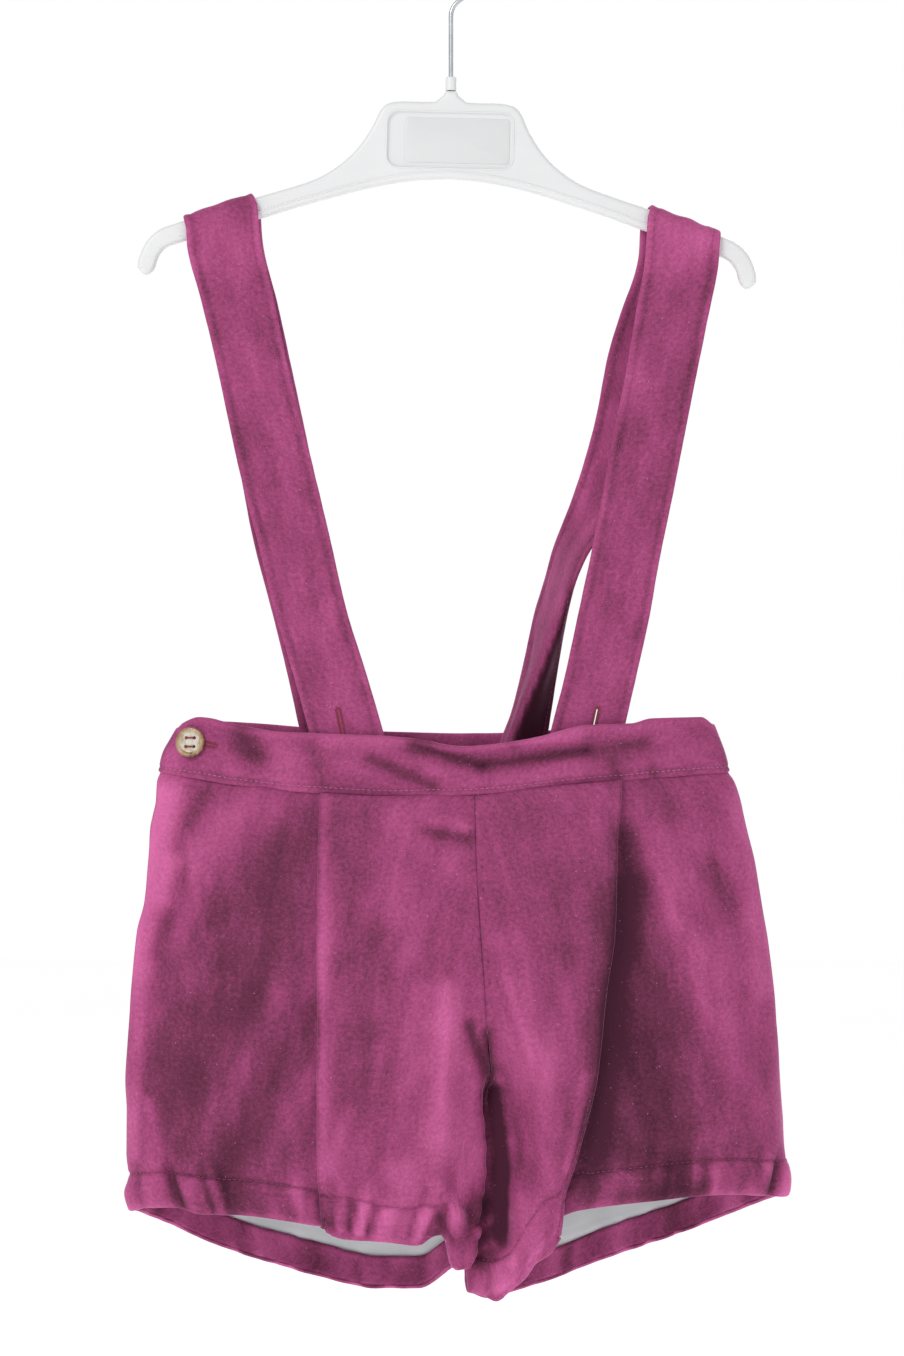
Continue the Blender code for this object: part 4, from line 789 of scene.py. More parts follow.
def horn_material(name):
    """Imitation horn: cream-grey clouds over brown, darker towards the rim."""
    shader = Shader(name, Coat_Weight=0.35, Coat_Roughness=0.12, Specular_IOR_Level=0.55)
    where = shader.place((1.0, 1.0, 0.45), turn=0.5)
    clouds = shader.noise(where, 190.0, 4.0, 0.6)
    veins = shader.noise(where, 620.0, 5.0, 0.7)
    base = shader.ramp(
        clouds * 0.7 + veins * 0.3 - shader.shade() * 0.34 + 0.06,
        (0.18, (0.10, 0.035, 0.012)),
        (0.36, (0.36, 0.21, 0.10)),
        (0.5, (0.55, 0.52, 0.43)),
        (0.72, (0.62, 0.63, 0.58)),
    )
    return shader.finished(base, 0.24 + veins * 0.14, veins, 0.04, 0.3)


def plain_button_material(name):
    shader = Shader(name, Coat_Weight=0.3, Coat_Roughness=0.15)
    clouds = shader.noise(shader.place(), 240.0, 3.0)
    base = shader.mix(clouds, (0.42, 0.33, 0.27), (0.66, 0.60, 0.54))
    return shader.finished(base, 0.26 + clouds * 0.12)


def plastic_material(name, darker):
    """Cloudy moulded plastic that lets some light in, with faint flow marks and handling wear."""
    shader = Shader(
        name,
        Specular_IOR_Level=0.45,
        Subsurface_Weight=0.2,
        Subsurface_Radius=(0.002, 0.002, 0.002),
        IOR=1.49,
    )
    flow = shader.noise(shader.place((1.0, 1.0, 2.5)), 26.0, 3.0)
    scuffs = shader.noise(shader.place((1.0, 1.0, 6.0), turn=0.6), 420.0, 4.0, 0.7)
    base = shader.mix(flow, tinted("plastic", darker * 0.93), tinted("plastic", darker))
    return shader.finished(base, 0.3 + flow * 0.12 + scuffs * 0.1, scuffs, 0.004, 0.35)


def wire_material(name):
    shader = Shader(name, Metallic=1.0)
    drawn = shader.noise(shader.place((1.0, 1.0, 0.08)), 900.0, 3.0)
    marks = shader.noise(shader.place(), 160.0, 3.0)
    base = shader.mix(marks, (0.36, 0.38, 0.41), (0.60, 0.61, 0.64))
    return shader.finished(base, 0.24 + drawn * 0.16, drawn, 0.02, 0.4)


def floor_material(name):
    white = (1.0, 1.0, 1.0)
    shader = Shader(name, Specular_IOR_Level=0.1, Emission_Strength=0.42, Emission_Color=white)
    grain = shader.noise(shader.place(), 3.0, 4.0)
    base = shader.mix(grain, (0.90, 0.90, 0.90), (0.94, 0.94, 0.94))
    return shader.finished(base, 0.8 + grain * 0.1)


def material(name):
    """The named material, made the first time that it is asked for."""
    makers = {
        "Raspberry velvet": (velvet_material,),
        "Pale lining": (lining_material,),
        "Seam thread": (thread_material, tinted("thread")),
        "Pale seam thread": (thread_material, (0.55, 0.17, 0.34)),
        "Buttonhole thread": (thread_material, tinted("hole_thread")),
        "Horn button": (horn_material,),
        "Plain button": (plain_button_material,),
        "White plastic": (plastic_material, 1.0),
        "Recess plastic": (plastic_material, 0.93),
        "Hook wire": (wire_material,),
        "Pale floor": (floor_material,),
    }
    maker, *settings = makers[name]
    return bpy.data.materials.get(name) or maker(name, *settings)


# ---------------------------------------------------------------- legs


def side_x(leg, drop):
    return reading(SIDE_SEAMS, leg, drop)


def under_fold_x(leg, drop):
    """Where the pleat turns back on itself, hidden under the centre part."""
    depth = reading(PLEAT_DEPTHS, leg, drop)
    return reading(PLEAT_EDGES, leg, drop) + TOWARDS_MIDDLE[leg] * depth


def legs_parted(drop):
    """0 where left and right leg are one body, 1 where each leg closes on itself."""
    return eased((drop - CROTCH_TOP) / (CROTCH - CROTCH_TOP))


def inner_x(leg, drop):
    """Where the inner edge of a leg's panels ends, clear of the other leg's."""
    turn = legs_parted(drop) * math.pi / 2.0
    clear = SEAM_GAP / 2.0 + (VELVET / 2.0 + 0.1) * np.sin(turn)
    return reading(INNER_EDGES, leg, drop) - TOWARDS_MIDDLE[leg] * clear


def off_middle(leg, face, x, drop):
    """How far a front (face -1) or back (face 1) stands off the middle plane, creases included."""
    side = side_x(leg, drop)
    across = np.clip((x - side) / (inner_x(leg, drop) - side), 0.0, 1.0)
    torso = np.sqrt(1.0 - (1.0 - across) ** 2)
    tube = np.sqrt(np.maximum(0.0, 1.0 - (1.0 - 2.0 * across) ** 2))
    share = mixed(torso, tube, legs_parted(drop))
    height = crease_relief_and_painted_shade(FACES[face].creases, x, drop, "height") * eased(2.5 * share)
    return face * (reading(DEPTHS, FACES[face].side, drop) * share + height)


def pleat_lift(leg, x, drop):
    """How far the part between pleat and inner edge lies in front of the part beside it."""
    start = under_fold_x(leg, drop) + TOWARDS_MIDDLE[leg] * 3.0
    across = (x - start) / (inner_x(leg, drop) - start)
    return 2.0 * reading(DEPTHS, "pleat_step", drop) * (1.0 - eased(across))


def leaning(points):
    """How far the cloth between the legs is shifted to the viewer's left, nothing in front."""
    drop = -points[:, :, 2]
    middle = (reading(INNER_EDGES, "left", drop) + reading(INNER_EDGES, "right", drop)) / 2.0
    near = eased(1.0 - np.abs(points[:, :, 0] - middle) / 46.0)
    return reading(LEG_LEAN, "shift", drop) * near * eased((points[:, :, 1] + 10.0) / 12.0)


class Panel:
    """A cloth panel as columns of points, from its side seam to its inner edge."""

    def __init__(self, leg, face, length):
        self.leg = leg
        self.face = face
        self.towards = TOWARDS_MIDDLE[leg]
        self.outward = self.towards * face
        self.downs = steps_to(length, 1.9, 20.0, 1.0)
        self.top_side, self.top_inner = side_x(leg, 420.0), inner_x(leg, 425.0)
        self.columns, self.free, self.runs = [], [], []

    def run(self, top_x, hem_drop):
        """The drops of a column that starts at x on the waist's seam, with its top and hem."""
        top = reading(FACES[self.face].seam, "drop", top_x) - UNDER_BAND
        hem = hem_drop - (ROLL + VELVET / 2.0)
        return Run(mixed(top, hem, self.downs), top, hem)

    def add(self, x, y, run, free=1.0):
        """Free is 1 where the cloth lies open to view and 0 inside the pleat."""
        self.columns.append(np.stack(np.broadcast_arrays(x, y, -run.drop), axis=-1))
        self.free.append(free)
        self.runs.append(run)

    def add_side_edge(self, x, run):
        """The first columns, turned in to the side seam."""
        for off, inward in ((0.15, 0.8), (0.5, 0.3), (1.0, 0.05), (1.6, 0.0)):
            self.add(x + self.towards * inward, self.face * off, run)

    def add_inner_edge(self, run):
        """The last columns, turned in at the centre seam above and flat against the inseam below."""
        parted = legs_parted(run.drop)
        turn = parted * math.pi / 2.0
        inner = inner_x(self.leg, run.drop)
        kind = FACES[self.face]
        depth = reading(DEPTHS, kind.side, run.drop) * (1.0 - parted)
        depth = depth + crease_relief_and_painted_shade(kind.creases, inner, run.drop, "height") * (1.0 - parted)
        edge_y = self.face * (depth + SEAM_GAP / 2.0)
        for share in (1.0, 0.5, 0.0):
            x = inner - self.towards * LIP * share * np.cos(turn)
            self.add(x, edge_y + self.face * LIP * share * np.sin(turn), run)

    def innermost(self, drop):
        """How near to the inner edge the panel's open part comes."""
        room = mixed(3.0, 1.2, legs_parted(drop))
        return inner_x(self.leg, drop) - self.towards * room

    def finished(self):
        self.points = np.stack(self.columns, axis=1)
        self.free = np.array(self.free)
        self.to_seam = np.abs(inner_x(self.leg, -self.points[:, :, 2]) - self.points[:, :, 0])
        self.points[:, :, 0] -= leaning(self.points)
        line, cosines = self.smoothed_edge()
        self.above_hem = (line + self.points[:, :, 2]) * cosines
        self.below_top = -self.points[:, :, 2] - np.array([run.top for run in self.runs])
        return self

    def smoothed_edge(self):
        """The hem edge's drop without its small turns, and the cosine of its slope."""
        x = self.points[-1, :, 0]
        hem = np.array([run.hem for run in self.runs])
        line, slopes = hem.copy(), np.zeros(len(hem))
        for i in range(len(hem)):
            near = np.abs(x - x[i]) < 11.0
            if near.sum() > 3 and self.free[i] == 1.0:
                slopes[i], line[i] = np.polyfit(x[near] - x[i], hem[near], 1)
        return line, np.cos(np.arctan(np.clip(slopes, -1.1, 1.1)))

    def normals(self):
        return grid_normals(self.points, self.outward)


def front_panel(leg):
    """A front with its knife pleat: side part, fold, hidden part, fold and centre part."""
    panel = Panel(leg, -1.0, 215.0)
    towards = panel.towards
    side_hem, centre_hem = HEMS[leg + " side part"], HEMS[leg + " centre part"]
    top_under, top_pleat = under_fold_x(leg, 425.0), reading(PLEAT_EDGES, leg, 425.0)

    def side_part(across):
        top_x = mixed(panel.top_side, top_under, across)
        run = panel.run(top_x, reading(side_hem, "drop", across))
        return mixed(side_x(leg, run.drop), under_fold_x(leg, run.drop), across), run

    def add_fold(x, y, run, width, way, first, opening):
        for i in range(first, FOLD_STEPS + 1):
            angle = math.pi * i / FOLD_STEPS
            fold_x = x + way * width / 2.0 * math.sin(angle)
            fold_y = y - width / 2.0 * (1.0 - math.cos(angle))
            panel.add(fold_x, fold_y, run, opening * i / FOLD_STEPS)

    panel.add_side_edge(*side_part(0.0))
    for i in range(3, SIDE_COLUMNS + 1):
        x, run = side_part(1.0 - math.cos(i / SIDE_COLUMNS * math.pi / 2.0))
        panel.add(x, off_middle(leg, -1.0, x, run.drop), run)

    under = panel.run(top_under, side_hem[-1].drop)
    width = reading(DEPTHS, "pleat_step", under.drop)
    under_x = under_fold_x(leg, under.drop)
    add_fold(under_x, off_middle(leg, -1.0, under_x, under.drop), under, width, towards, 1, 0.0)

    pleat = panel.run(top_pleat, centre_hem[0].drop)
    width = reading(DEPTHS, "pleat_step", pleat.drop)
    pleat_x = reading(PLEAT_EDGES, leg, pleat.drop) + towards * width / 2.0
    for share in (0.25, 0.5, 0.75):
        x = mixed(under_x, pleat_x, share)
        run = Run(*[mixed(here, there, share) for here, there in zip(under, pleat)])
        panel.add(x, off_middle(leg, -1.0, x, run.drop) - width, run, 0.0)
    y = off_middle(leg, -1.0, pleat_x, pleat.drop) - width
    add_fold(pleat_x, y, pleat, width, -towards, 0, 1.0)
    panel.pleat_column = len(panel.columns) - 1 - FOLD_STEPS // 2

    for i in range(1, CENTRE_COLUMNS):
        across = math.sin(i / (CENTRE_COLUMNS - 1) * math.pi / 2.0)
        top_x = mixed(top_pleat, panel.top_inner, across)
        run = panel.run(top_x, reading(centre_hem, "drop", across))
        x = mixed(reading(PLEAT_EDGES, leg, run.drop), panel.innermost(run.drop), across)
        panel.add(x, off_middle(leg, -1.0, x, run.drop) - pleat_lift(leg, x, run.drop), run)
    panel.add_inner_edge(panel.run(panel.top_inner, centre_hem[-1].drop))
    return panel.finished()


def back_panel(leg):
    panel = Panel(leg, 1.0, 230.0)

    def part(across):
        top_x = mixed(panel.top_side, panel.top_inner, across)
        run = panel.run(top_x, reading(HEMS[leg + " back"], "drop", across))
        return mixed(side_x(leg, run.drop), inner_x(leg, run.drop), across), run

    panel.add_side_edge(*part(0.0))
    for i in range(4, BACK_COLUMNS):
        x, run = part((1.0 - math.cos(i / BACK_COLUMNS * math.pi)) / 2.0)
        limit = panel.innermost(run.drop) * panel.towards
        x = np.minimum(x * panel.towards, limit) * panel.towards
        panel.add(x, off_middle(leg, 1.0, x, run.drop), run)
    panel.add_inner_edge(part(1.0)[1])
    return panel.finished()


def puckers(x, above, seed):
    """Small uneven pleats that the hem's stitching draws in, strongest between edge and stitches."""
    hem_depth = size("hem_depth")
    line = np.stack((x, np.zeros_like(x), np.zeros_like(x)), axis=-1)
    slant = 0.5 * above * wavering(line, 70.0, seed + 5.0)
    drawn = np.stack((x + slant, above * 0.12, np.zeros_like(x)), axis=-1)
    strength = np.clip(0.7 + 1.6 * wavering(line, 30.0, seed + 1.0), 0.15, 1.4)
    inside = eased((hem_depth + 1.0 - above) / 3.0) * eased((above + 3.0) / 4.0)
    beyond = 0.45 * eased((above - hem_depth + 1.0) / 2.0) * bell(above - hem_depth, 8.0)
    folds = np.clip(3.0 * wavering(drawn, 6.2, seed), -1.0, 1.0)
    return folds * strength * (inside + beyond) * size("pucker")


def worn(panel, seed):
    """Adds to the panel's shape what stitching and wear do to it, and works out the light and shade
    painted into its colour.
    """
    hem_depth, uneven = size("hem_depth"), size("unevenness")
    points, above = panel.points, panel.above_hem
    x, drop = points[:, :, 0], -points[:, :, 2]
    torso = 1.0 - legs_parted(drop)
    drawn = puckers(x, above, seed)
    ripple = np.sin(drop * 2.0 * math.pi / 11.0 + 3.0 * wavering(points, 30.0, seed + 3.0))
    relief = (
        wavering(points, 34.0, seed) * uneven
        + wavering(points, 13.0, seed + 2.0) * uneven * 0.35
        - 0.75 * bell(above - hem_depth, 1.1)
        + drawn
        + 0.7 * np.sin(math.pi * np.clip(above / hem_depth, 0.0, 1.0))
        - 0.4 * bell(panel.to_seam, 1.2) * torso
        + 0.28 * ripple * bell(panel.to_seam - 4.0, 5.0)
        - 0.7 * bell(panel.below_top, 2.2)
    )
    panel.points = points + panel.normals() * (relief * panel.free)[:, :, None]
    # Painted light and shade: the creases' shade, lighter and darker with the relief and the puckers, a
    # painted highlight along the side seam and the hem's edge, painted shade along the hem's stitching
    # and the centre seam, and darker inside the pleat where shade falls.
    panel.shade = (
        crease_relief_and_painted_shade(FACES[panel.face].creases, x, drop, "shade")
        + 0.1 * relief
        + 0.42 * drawn
        + 0.4 * bell(x - side_x(panel.leg, drop), 4.0)
        - 0.35 * bell(above - hem_depth, 0.9)
        + 0.35 * bell(above, 1.6)
        - 0.1 * bell(panel.to_seam, 1.0) * torso
        - 0.6 * (1.0 - panel.free)
    )
    return panel


def with_rolled_edge(panel):
    """The panel's points and shades with its hem edge rolled half round to the inside."""
    normals = unit(panel.normals()[-1] * (1.0, 1.0, 0.0))
    radius = mixed(0.5, ROLL, panel.free)[:, None]
    rows = [panel.points]
    for angle in np.radians((30.0, 60.0, 90.0, 120.0, 150.0, 180.0)):
        row = panel.points[-1] - normals * radius * (1.0 - math.cos(angle))
        row[:, 2] -= radius[:, 0] * math.sin(angle)
        rows.append(row[None])
    # The rolled edge a little lighter: a painted highlight.
    rolled = np.repeat(panel.shade[-1:], len(rows) - 1, axis=0) + 0.1
    return np.concatenate(rows), np.concatenate((panel.shade, rolled))


def panel_stitches(panel):
    """The hem's machine stitching, at its depth above the edge: a line for each open stretch."""
    lines = [[]]
    on_panel = (panel.points, panel.normals())
    for i in range(4, panel.points.shape[1] - 3):
        if panel.free[i] < 0.99:
            lines.append([])
            continue
        above = panel.above_hem[::-1, i]
        point, normal = (
            np.array([np.interp(size("hem_depth"), above, grid[::-1, i, k]) for k in range(3)])
            for grid in on_panel
        )
        lines[-1].append((point + normal * VELVET / 2.0, normal))
    return [tuple(np.array(line).swapaxes(0, 1)) for line in lines if line]


def leg_panels():
    """Both legs' finished panels, worked out once."""
    if not PANELS:
        for k, leg in enumerate(LEGS):
            PANELS[leg, "front"] = worn(front_panel(leg), 3.0 + k)
            PANELS[leg, "back"] = worn(back_panel(leg), 7.0 + k)
    return PANELS


def column_at(panel, i, above, raised):
    """A panel's column a height above its hem, raised by a share of the way to the lining's top."""
    want = mixed(panel.runs[i].hem - above, LINING_TOP, raised)
    return np.array([np.interp(want, -panel.points[:, i, 2], panel.points[:, i, k]) for k in range(3)])


def ring_round_leg(leg, above, raised, inset, count):
    """A closed ring of points inside a leg, at column_at's heights."""
    front, back = leg_panels()[leg, "front"], leg_panels()[leg, "back"]
    towards, pleat = TOWARDS_MIDDLE[leg], front.pleat_column
    points = [column_at(front, i, above, raised) for i in range(pleat) if front.free[i] > 0.99]
    fold = points[-1] + np.array((towards * 3.2, 0.6, 0.0))
    beyond = [column_at(front, i, above, raised) for i in range(pleat, len(front.free))]
    beyond = [point for point in beyond if (point[0] - fold[0]) * towards > 7.0]
    fold[2] = mixed(fold[2], beyond[0][2], 0.3)
    points += [fold, *beyond]
    points += [column_at(back, i, above, raised) for i in reversed(range(len(back.free)))]
    closed = np.array([*points, points[0]])
    run = np.concatenate(([0.0], np.cumsum(np.linalg.norm(np.diff(closed[:, :2], axis=0), axis=1))))
    at = np.linspace(0.0, run[-1], count, endpoint=False)
    ring = np.stack([np.interp(at, run, closed[:, k]) for k in range(3)], axis=1)
    for _ in range(3):
        ring = 0.5 * ring + 0.25 * (np.roll(ring, 1, axis=0) + np.roll(ring, -1, axis=0))
    along = np.roll(ring, -1, axis=0) - np.roll(ring, 1, axis=0)
    inward = np.stack((-along[:, 1], along[:, 0], np.zeros(count)), axis=1) * towards
    return ring + unit(inward) * inset


class SHORTS_OT_legs(bpy.types.Operator):
    """Make the four velvet panels of the legs, pleated in front"""

    bl_idname = "shorts.legs"
    bl_label = "Legs"

    def execute(self, context):
        for (leg, side), panel in leg_panels().items():
            points, shade = with_rolled_edge(panel)
            grid = {"points": points, "outward": panel.outward, "shade": shade}
            node, band = f"{side}_{leg}", "velvet_waistband_" + side
            add_cloth("velvet_" + node, node, grid, (VELVET, 0.0), LEG_CUTS[side], "hung", band)
        return {"FINISHED"}


class SHORTS_OT_hems(bpy.types.Operator):
    """Make the turned hems and the lining inside the legs"""

    bl_idname = "shorts.hems"
    bl_label = "Hems and lining"

    def execute(self, context):
        hem_depth = size("hem_depth")
        for k, leg in enumerate(LEGS):
            outward = TOWARDS_MIDDLE[leg]
            back = "velvet_back_" + leg

            above = np.linspace(hem_depth - 1.2, 0.0, 9)
            insets = 2.0 * ROLL + 1.4 * above / hem_depth
            rings = [ring_round_leg(leg, up, 0.0, inset, 190) for up, inset in zip(above, insets)]
            points = np.array(rings)
            line = wavering(points, 9.0, 20.0 + k, squeeze=(1.0, 1.0, 0.2))
            lift = 0.7 * line * eased(above / 4.0)[:, None]
            points = points + grid_normals(points, outward) * lift[:, :, None]
            # The hem band's shade follows its wrinkles: painted light and shade on them.
            grid = {"points": points, "outward": outward, "ring": True, "shade": 0.9 * line + 0.05}
            flat = (ROUND_LEG[leg], 0.015)
            add_cloth("velvet_hem_" + leg, "hem_" + leg, grid, (1.1, 0.0), flat, "folded", back)

            raised = np.linspace(1.0, 0.0, 26)
            insets = mixed(1.9, 2.6, eased(raised * 5.0))
            low = hem_depth - 4.0
            rings = [ring_round_leg(leg, low, up, inset, 150) for up, inset in zip(raised, insets)]
            points = np.array(rings)
            wrinkles = 0.5 * wavering(points, 14.0, 30.0 + k) * eased(raised * 4.0)[:, None]
            points = points + grid_normals(points, outward) * wrinkles[:, :, None]
            grid = {"points": points, "outward": outward, "ring": True}
            flat = (ROUND_LEG[leg], 0.045)
            name, node, look = "pale_lining_" + leg, "lining_" + leg, ("Pale lining", "lining")
            add_cloth(name, node, grid, (0.4, 0.0), flat, "hung", back, *look)
        return {"FINISHED"}


# ---------------------------------------------------------------- bands sewn double


def double_cloth(points, half, outward):
    """A closed ring of points round each row of a strip, for cloth folded double with soft edges."""
    normals = grid_normals(points, outward)
    near = points + normals * half[:, :, None]
    far = points - normals * half[:, :, None]
    arcs = []
    for edge, before, side in ((-1, -2, 1.0), (0, 1, -1.0)):
        away = unit(points[:, edge] - points[:, before])
        for i in range(1, ARC_STEPS):
            angle = math.pi * i / ARC_STEPS
            lean = normals[:, edge] * math.cos(angle) * side + away * math.sin(angle)
            arcs.append((points[:, edge] + lean * half[:, edge][:, None])[:, None])
    right, left = arcs[: ARC_STEPS - 1], arcs[ARC_STEPS - 1 :]
    return np.concatenate((near, *right, far[:, ::-1], *left), axis=1)


def ring_shade(near, far):
    """The shades that go with double_cloth's points, for its near and its far side."""
    right, left = (np.repeat(near[:, i][:, None], ARC_STEPS - 1, axis=1) for i in (-1, 0))
    return np.concatenate((near, right, far[:, ::-1], left), axis=1)


def add_band(name, node, ring, shade, outward, wall, flat, held, on, sewn):
    """A band of double cloth, with the lines on its surface that its stitching follows."""
    grid = {"points": ring, "outward": outward, "ring": True, "capped": True, "shade": shade}
    add_cloth("velvet_" + name, node, grid, (wall, -1.0), flat, held, on)
    normals = grid_normals(ring, outward)
    return [(ring[:, i], normals[:, i]) for i in sewn]


def band_row(angle, down, face, inset=(0.0, 0.0)):
    """Points down the waistband, at an angle from its left end round to its right end."""
    across = -math.cos(angle) * np.ones_like(down)
    middle = INNER_EDGES[0].left
    left = np.abs(reading(BAND_SIDES, "left", down) - middle)
    right = np.abs(reading(BAND_SIDES, "right", down) - middle)
    x = middle + across * (np.where(across < 0.0, left, right) - inset[0])
    top, seam = reading(FACES[face].band_top, "drop", x), reading(FACES[face].seam, "drop", x)
    share = np.sqrt(np.maximum(0.0, 1.0 - across * across))
    y = face * ((reading(BAND_SIDES, "depth", down) - inset[1]) * share)
    return np.stack((x, y, -mixed(top, seam, down)), axis=-1)


def band_rows(face, down):
    """The waistband's rows. The back's begin with its end that passes under the front."""
    if face < 0.0:
        return [band_row(angle, down, face) for angle in np.linspace(0.012, math.pi - 0.012, 150)]
    under = np.linspace(math.radians(UNDERLAP_ANGLE), 0.02, 16)
    rows = [band_row(angle, down, -1.0, UNDERLAP_INSET) for angle in under]
    for angle in np.linspace(0.0, math.pi - 0.012, 130):
        inside = band_row(angle, down, face, UNDERLAP_INSET)
        clear = 1.0 - eased((angle - 0.1) / 0.6)
        rows.append(mixed(band_row(angle, down, face), inside, clear))
    return rows


class SHORTS_OT_waistband(bpy.types.Operator):
    """Make the waistband's two halves, each folded double at its top edge"""

    bl_idname = "shorts.waistband"
    bl_label = "Waistband"

    def execute(self, context):
        down = np.linspace(0.045, 0.955, 15)
        to_stitches = (1.0 - down) * BAND_DEPTH - STITCHES_FROM_EDGE
        for face, kind in FACES.items():
            points = np.array(band_rows(face, down))
            x, drop = points[:, :, 0], -points[:, :, 2]
            facing = np.where(points[:, :, 1] * face > 3.0, 1.0, 0.0)
            relief = crease_relief_and_painted_shade(kind.band_creases, x, drop, "height") * facing
            relief = relief + wavering(points, 22.0, 40.0 + face) * size("unevenness")
            points = points + grid_normals(points, -face) * relief[:, :, None]
            half = BAND_CLOTH / 2.0 + 0.12 * np.sin(math.pi * down)
            half = half - 0.4 * bell(to_stitches, 1.0) + 0.05 * wavering(points, 7.0, 43.0)
            # Painted light and shade: the creases' shade, painted shade along the stitching and a
            # painted highlight along the folded top edge.
            shade = crease_relief_and_painted_shade(kind.band_creases, x, drop, "shade") * facing
            shade = shade - 0.25 * bell(to_stitches, 0.8) + 0.35 * bell(down, 0.12)
            name = "waistband_" + kind.side
            ring, shades = double_cloth(points, np.maximum(half, 0.85), -face), ring_shade(shade, shade)
            sheet = BAND_CUT, "folded", f"velvet_{kind.side}_left"
            lines = add_band(name, name, ring, shades, -face, 0.6, *sheet, sewn=[13])
            STITCH_LINES["seam_waist_" + kind.side] = lines
        return {"FINISHED"}


def arm_top(x):
    """Drop of the hanger's top edge at x, with the hanger's tilt."""
    level_x = x + reading(HANGER_TOP, "below", np.abs(x)) * math.sin(HANGER_TILT)
    below = reading(HANGER_TOP, "below", np.abs(level_x))
    return PLATEAU_DROP + below * math.cos(HANGER_TILT) + level_x * math.sin(HANGER_TILT)


def across_row(row):
    """Points straight across a brace, pushed over its lengthwise crease."""
    left, right = np.array(row[:3]), np.array(row[3:6])
    inset = STRAP_CLOTH / 2.0 / np.linalg.norm(right - left)
    share = mixed(inset, 1.0 - inset, ACROSS_BRACE)
    crease = row.crease_at
    pull = np.where(share < crease, share / crease, (1.0 - share) / (1.0 - crease))
    push = np.array((row.push_x, row.push_y, 0.0))
    return left + (right - left) * share[:, None] + push * eased(pull)[:, None]


def over_arm(leg):
    """The rows of a brace round the top of the hanger's arm, from front to back."""
    front, back = BRACES[leg + " front"][-1], BRACES[leg + " back"][0]
    radius = HANGER_THICKNESS / 2.0 + ARM_CLEARANCE + STRAP_CLOTH / 2.0
    rows = []
    for i in range(ARM_STEPS + 1):
        share = i / ARM_STEPS
        angle = math.pi * (share - 0.5)
        lean = 2.8 * math.cos(angle) + 1.8
        shift = (-lean * 0.6, -lean) if leg == "left" else (lean, lean * 0.6)
        left_x = mixed(front.left_x, back.left_x, share) + shift[0]
        right_x = mixed(front.right_x, back.right_x, share) + shift[1]
        x = mixed(left_x, right_x, mixed(0.03, 0.97, ACROSS_BRACE))
        y = radius * math.sin(angle) * np.ones_like(x)
        drop = arm_top(x) + ARM_ROUND_DEPTH - radius * math.cos(angle)
        rows.append(np.stack((x, y, drop), axis=-1))
    return rows


def through_rows(rows, step):
    """More rows on smooth curves through the given ones, about a step apart."""
    finer = []
    for i in range(len(rows) - 1):
        before, start = rows[max(i - 1, 0)], rows[i]
        end, after = rows[i + 1], rows[min(i + 2, len(rows) - 1)]
        pairs = (before, start), (start, end), (end, after)
        last, here, coming = (np.linalg.norm(b - a, axis=1, keepdims=True) for a, b in pairs)
        leaving = (end - before) * here / np.maximum(here + last, 1e-6)
        arriving = (after - start) * here / np.maximum(here + coming, 1e-6)
        count = max(1, round(float(here.mean()) / step))
        finer += [on_curve(start, leaving, end, arriving, k / count) for k in range(count)]
    return np.array([*finer, rows[-1]])


def brace_points(leg):
    """Rows across a brace, up its front run, over the hanger's arm and down its back run."""
    front, back = ([across_row(row) for row in BRACES[leg + side]] for side in (" front", " back"))
    return through_rows(front + over_arm(leg) + back, 2.3) * (1.0, 1.0, -1.0)


def fold_shadow(points):
    """Dark shade on the part of the right brace's back run that its crease turns away."""
    drop = -points[:, :, 2]
    rows = [row for row in BRACES["right back"] if row.crease_at > 0.5 or row.right_drop > 340.0]
    folds = table("drop share", *[(row.right_drop, row.crease_at) for row in rows])
    back_run = (np.arange(len(points)) > len(points) / 2)[:, None]
    behind = np.where(points[:, :, 1] > -9.0, 1.0, 0.0) * back_run
    past = eased((ACROSS_BRACE - reading(folds, "share", drop)) / 0.08)
    return -1.5 * past * behind * eased((drop - 322.0) / 20.0)


